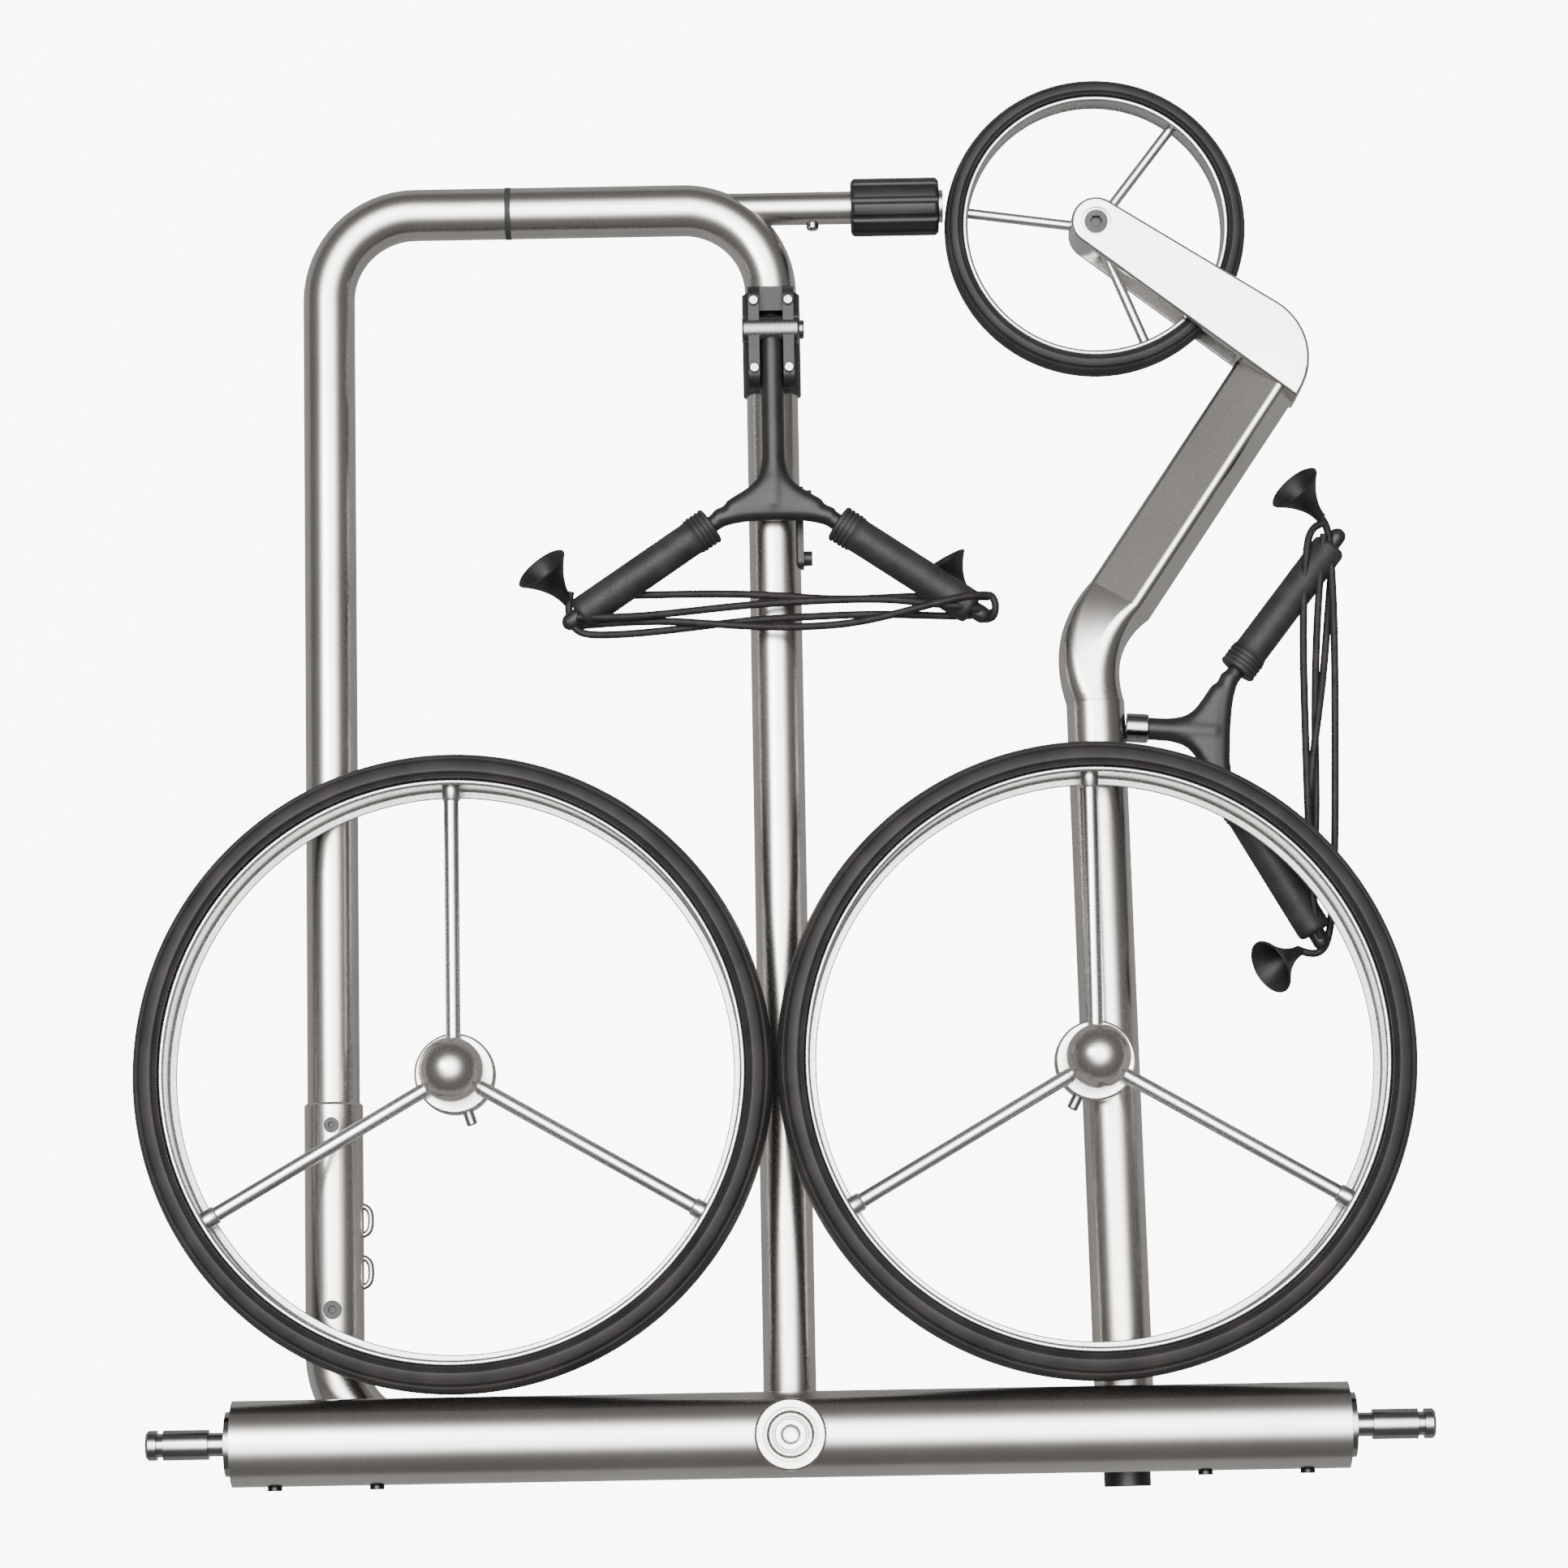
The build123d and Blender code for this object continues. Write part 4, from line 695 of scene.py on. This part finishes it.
def tip_outline():
    """The small ball at the end of an arm."""
    outline = [(0.0, -TIP_R)]
    for degrees in range(-75, 90, 15):
        angle = math.radians(degrees)
        outline.append((TIP_R * math.cos(angle), TIP_R * math.sin(angle)))
    return outline + [(0.0, TIP_R)]


def make_yoke_frame(yoke, plane, root, stem_from, materials):
    """Moulded Y: stem, two arms that flow out of it, a flat arch between them and ball tips."""
    bm = bmesh.new()
    stem = [Vector((s, 0, 0)) for s in (stem_from, (stem_from + root) / 2, root + STEM_PAST_ROOT)]
    tube(bm, [plane @ point for point in stem], STEM_R * MELT_SPARE)
    for side in (-1, 1):
        arm = [arm_spot(root, side, length) for length in (0.0, ARM_LENGTH / 2, ARM_LENGTH)]
        tube(bm, [plane @ point for point in arm], ARM_R * MELT_SPARE)
        shoulder = [near_root(root, along, side * across) for along, across in SHOULDER]
        tube(bm, [plane @ point for point in shoulder], SHOULDER_R)
        lathe(bm, tip_outline(), plane @ arm[-1], plane.to_3x3() @ UP, steps=24)
    arch = [near_root(root, along, across) for along, across in ARCH]
    tube(bm, [plane @ point for point in arch], ARCH_R)
    spine = [near_root(root, along, 0) for along in SPINE]
    tube(bm, [plane @ point for point in spine], SPINE_R)
    for along, spread in WEB_BARS:
        bar = [near_root(root, along, across) for across in (-spread, 0.0, spread)]
        tube(bm, [plane @ point for point in bar], WEB_R)
    bm = melt(bm, FRAME_VOXEL, FRAME_ROUNDS)
    add_piece(yoke + "_body", bm, materials["black_plastic"], yoke, (yoke + "_frame",))


# ================= grips =================
GRIP_FROM = 36.5 * MM           # along an arm
GRIP_TO = 113.5 * MM
GRIP_R = 8.3 * MM
GRIP_END_R = 2.6 * MM           # rounding of the outer end
COLLAR_EDGE = 0.1 * MM          # how far the collar's inner edge stands over the grip
COLLAR_FROM = 0.8 * MM
COLLAR_LENGTH = 9.0 * MM
COLLAR_FADE = ((0.2, 2.2), (0.0, 4.0))      # millimetres over the grip, and past the collar
RIBS = 4
RIB_TOP = 0.90                  # millimetres over the grip
RIB = ((RIB_TOP, 0.55), (0.35, 0.70), (0.35, 0.85), (0.80, 1.0))    # that, and share of the rib's length


def grip_outline(length):
    """A rubber sleeve: a ribbed collar at the inner end, a plain barrel and a rounded outer end."""
    step = COLLAR_LENGTH / RIBS
    outline = [(ARM_R, 0.0), (GRIP_R + COLLAR_EDGE, 0.0), (GRIP_R + RIB_TOP * MM, COLLAR_FROM)]
    for number in range(RIBS):
        for rise, share in RIB:
            outline.append((GRIP_R + rise * MM, COLLAR_FROM + step * (number + share)))
    for rise, past in COLLAR_FADE:
        outline.append((GRIP_R + rise * MM, COLLAR_LENGTH + past * MM))
    for degrees in (0, 30, 60, 90):
        angle = math.radians(degrees)
        outline.append((GRIP_R - GRIP_END_R * (1 - math.cos(angle)),
                        length - GRIP_END_R + GRIP_END_R * math.sin(angle)))
    return outline + [(ARM_R, length)]


def make_grips(yoke, plane, root, materials):
    """The rubber sleeves on both arms."""
    outline = grip_outline(GRIP_TO - GRIP_FROM)
    bm = bmesh.new()
    for side in (-1, 1):
        start = arm_spot(root, side, GRIP_FROM)
        reach = arm_spot(root, side, GRIP_TO) - start
        lathe(bm, outline, plane @ start, plane.to_3x3() @ reach, steps=48, closed=True)
    add_piece(yoke + "_sleeves", bm, materials["grip_rubber"], yoke, (yoke + "_grips",))


# ================= horns =================
HORN_NECK = 2.6 * MM
HORN_WALL = 1.1 * MM
HORN_FLARE = 1.9                # how late the bell opens
HORN_STEPS = 14
HORN_RIB = 0.25 * MM
HORN_LIP = ((0.3, 0.5), (-0.5, 1.1))        # millimetres over the mouth's radius, and past the mouth
INNER_SHIFT = 0.5 * MM          # the inner face is drawn this much nearer the mouth
THROAT = 0.22                   # share of the length where the throat closes
# Each horn in millimetres: neck point, middle of the mouth, radius of the mouth.
UPPER_HORNS = (
    ((131.0, -99.0, -1.0), (116.5, -111.0, 9.0), 13.2),
    ((126.0, 90.0, -12.0), (112.5, 82.5, -8.0), 9.5),
)
LOWER_HORNS = (
    ((102.4, 107.0, 0.0), (88.6, 119.2, 8.5), 13.2),
    ((100.2, -103.0, 0.0), (86.4, -112.2, 8.5), 13.2),
)


def horn_radius(mouth, share):
    """Outer radius of the bell at a share of its length."""
    return HORN_NECK + (mouth - HORN_NECK) * share ** HORN_FLARE


def horn_outline(length, mouth):
    """A thin bell: outer flare, rolled lip, ribbed inner face and a closed throat."""
    outer = []
    for k in range(HORN_STEPS + 1):
        share = k / HORN_STEPS
        outer.append((horn_radius(mouth, share), length * share))
    lip = [(mouth + out * MM, length + past * MM) for out, past in HORN_LIP]
    inner = []
    for k in range(HORN_STEPS, 2, -1):
        share = k / HORN_STEPS
        wall = HORN_WALL + HORN_RIB * (k % 2)
        inner.append((horn_radius(mouth, share) - wall, length * share + INNER_SHIFT))
    return [(0.0, 0.0)] + outer + lip + inner + [(0.0, length * THROAT)]


def make_horns(yoke, plane, horns, materials):
    """Flared rubber hooks, each from a neck point to the middle of its mouth."""
    bm = bmesh.new()
    for neck, mouth, radius in horns:
        start = plane @ (Vector(neck) * MM)
        reach = plane @ (Vector(mouth) * MM) - start
        lathe(bm, horn_outline(reach.length, radius * MM), start, reach, steps=48)
    add_piece(yoke + "_bells", bm, materials["horn_rubber"], yoke, (yoke + "_horns",))


# ================= elastic cords =================
CORD_R = 1.85 * MM
# Runs of cord in millimetres along the stem, across and above it.
UPPER_CORDS = (
    ((127.3, -80, -6.0), (127.3, -62, -5.0), (127.3, -33, -4.0), (128.5, -5, -3.0), (130.5, 16, -3.0),
     (131.5, 33, -4.0), (130.5, 52, -6.0), (129.5, 70, -8.5), (130.5, 90, -7.0), (132.0, 101.5, 0.0)),
    ((139.0, -95, 5.2), (140.2, -75, 4.5), (136.8, -42, 1.6), (133.6, -11, 0.6), (132.8, 14, 1.5),
     (132.2, 38, 2.0), (133.0, 59, 3.0), (136.6, 76, 7.0), (137.5, 93, 7.0), (139.5, 99, 1.0)),
    ((142.0, -97, -4.5), (140.0, -64, -1.0), (142.0, -39, 1.0), (145.2, -11, 3.8), (145.8, 14, 4.2),
     (144.6, 38, 4.8), (139.4, 62, 7.0), (134.6, 82, 10.4), (131.8, 96, 8.0), (132.0, 102.5, 4.0)),
    ((126.0, -98, 0.0), (136.0, -100, 0.0), (146.0, -97, 0.5), (147.6, -86, 0.5), (146.5, -64, -1.0),
     (143.8, -39, -2.6), (140.4, -11, -3.0), (139.6, 14, -3.4), (138.4, 46, -3.6), (140.0, 77, -5.0),
     (140.4, 97, -6.0), (139.0, 104, -2.0)),
    ((132.0, 102.5, 4.0), (134.0, 104.5, 3.0), (138.0, 105.0, 4.6), (144.0, 103.5, 0.0), (141.4, 97, -5.0)),
)
LOWER_CORDS = (
    ((104.0, 104, 3.0), (96.5, 102, 5.0), (95.0, 90, 9.2), (95.0, 54, 3.0), (98.6, 4, 1.6),
     (101.5, -39, 2.4), (104.0, -75, 8.4), (107.5, -93, 5.4), (110.5, -98.5, 1.5)),
    ((103.5, 98, 6.0), (102.6, 84, 6.8), (101.8, 50, 1.0), (103.8, -4, -2.2), (106.4, -40, -1.6),
     (105.0, -75, -6.0), (108.0, -93, -5.2), (110.5, -98.0, -1.5)),
    ((110.0, 100, -4.8), (108.2, 81, -3.4), (107.4, 32, -2.0), (102.8, -2, 4.8), (101.4, -40, -0.6),
     (102.6, -77, -8.4), (106.0, -92, -5.0), (110.0, -98.0, -1.0)),
    ((102.5, 107, 0.0), (105.6, 103, 4.0), (107.5, 88, 5.2), (111.2, 50, 0.6), (113.4, -4, 0.0),
     (115.4, -56, 0.0), (115.0, -88, -0.4), (113.0, -103.5, -1.0), (106.0, -105, -0.5),
     (100.0, -102.8, 0.0)),
)


def make_cords(yoke, plane, strands, materials):
    """The elastic cord's runs between the arm tips, as the turns lie over each other."""
    bm = bmesh.new()
    for strand in strands:
        tube(bm, [plane @ (Vector(point) * MM) for point in strand], CORD_R, order=4, sides=12)
    add_piece(yoke + "_strands", bm, materials["cord_elastic"], yoke, (yoke + "_cord",))


def make_yokes(materials):
    """Both yokes with grips, horns and cords, each in the plane of its joint."""
    fold = joint_named("upper_yoke_fold")
    turn = joint_named("lower_yoke_turn")
    upper = yoke_plane(fold, Vector((0, -1, 0)))
    lower = yoke_plane(turn, Vector(turn["axis"]).normalized())
    for yoke, plane, root, stem_from, horns, cords in (
            ("upper_yoke", upper, UPPER_ARM_ROOT, UPPER_STEM_FROM, UPPER_HORNS, UPPER_CORDS),
            ("lower_yoke", lower, LOWER_ARM_ROOT, LOWER_STEM_FROM, LOWER_HORNS, LOWER_CORDS)):
        make_yoke_frame(yoke, plane, root, stem_from, materials)
        make_grips(yoke, plane, root, materials)
        make_horns(yoke, plane, horns, materials)
        make_cords(yoke, plane, cords, materials)


# ================= build =================
add_camera()
add_floor()
add_sky()
add_softbox()
finishes = {slot: surface(slot, **look) for slot, look in FINISHES.items()}
dress_nodes(finishes)
for wheel in ("left", "right", "front"):
    make_tyre(wheel, finishes)
for wheel, flange_depth in FLANGE_DEPTHS.items():
    make_rim(wheel, flange_depth, finishes)
for wheel in ("left", "right"):
    make_ferrules(wheel, finishes)
make_boss_bolt(finishes)
make_hinge_barrel(finishes)
make_joint_band(finishes)
make_strap_rings(finishes)
make_yokes(finishes)
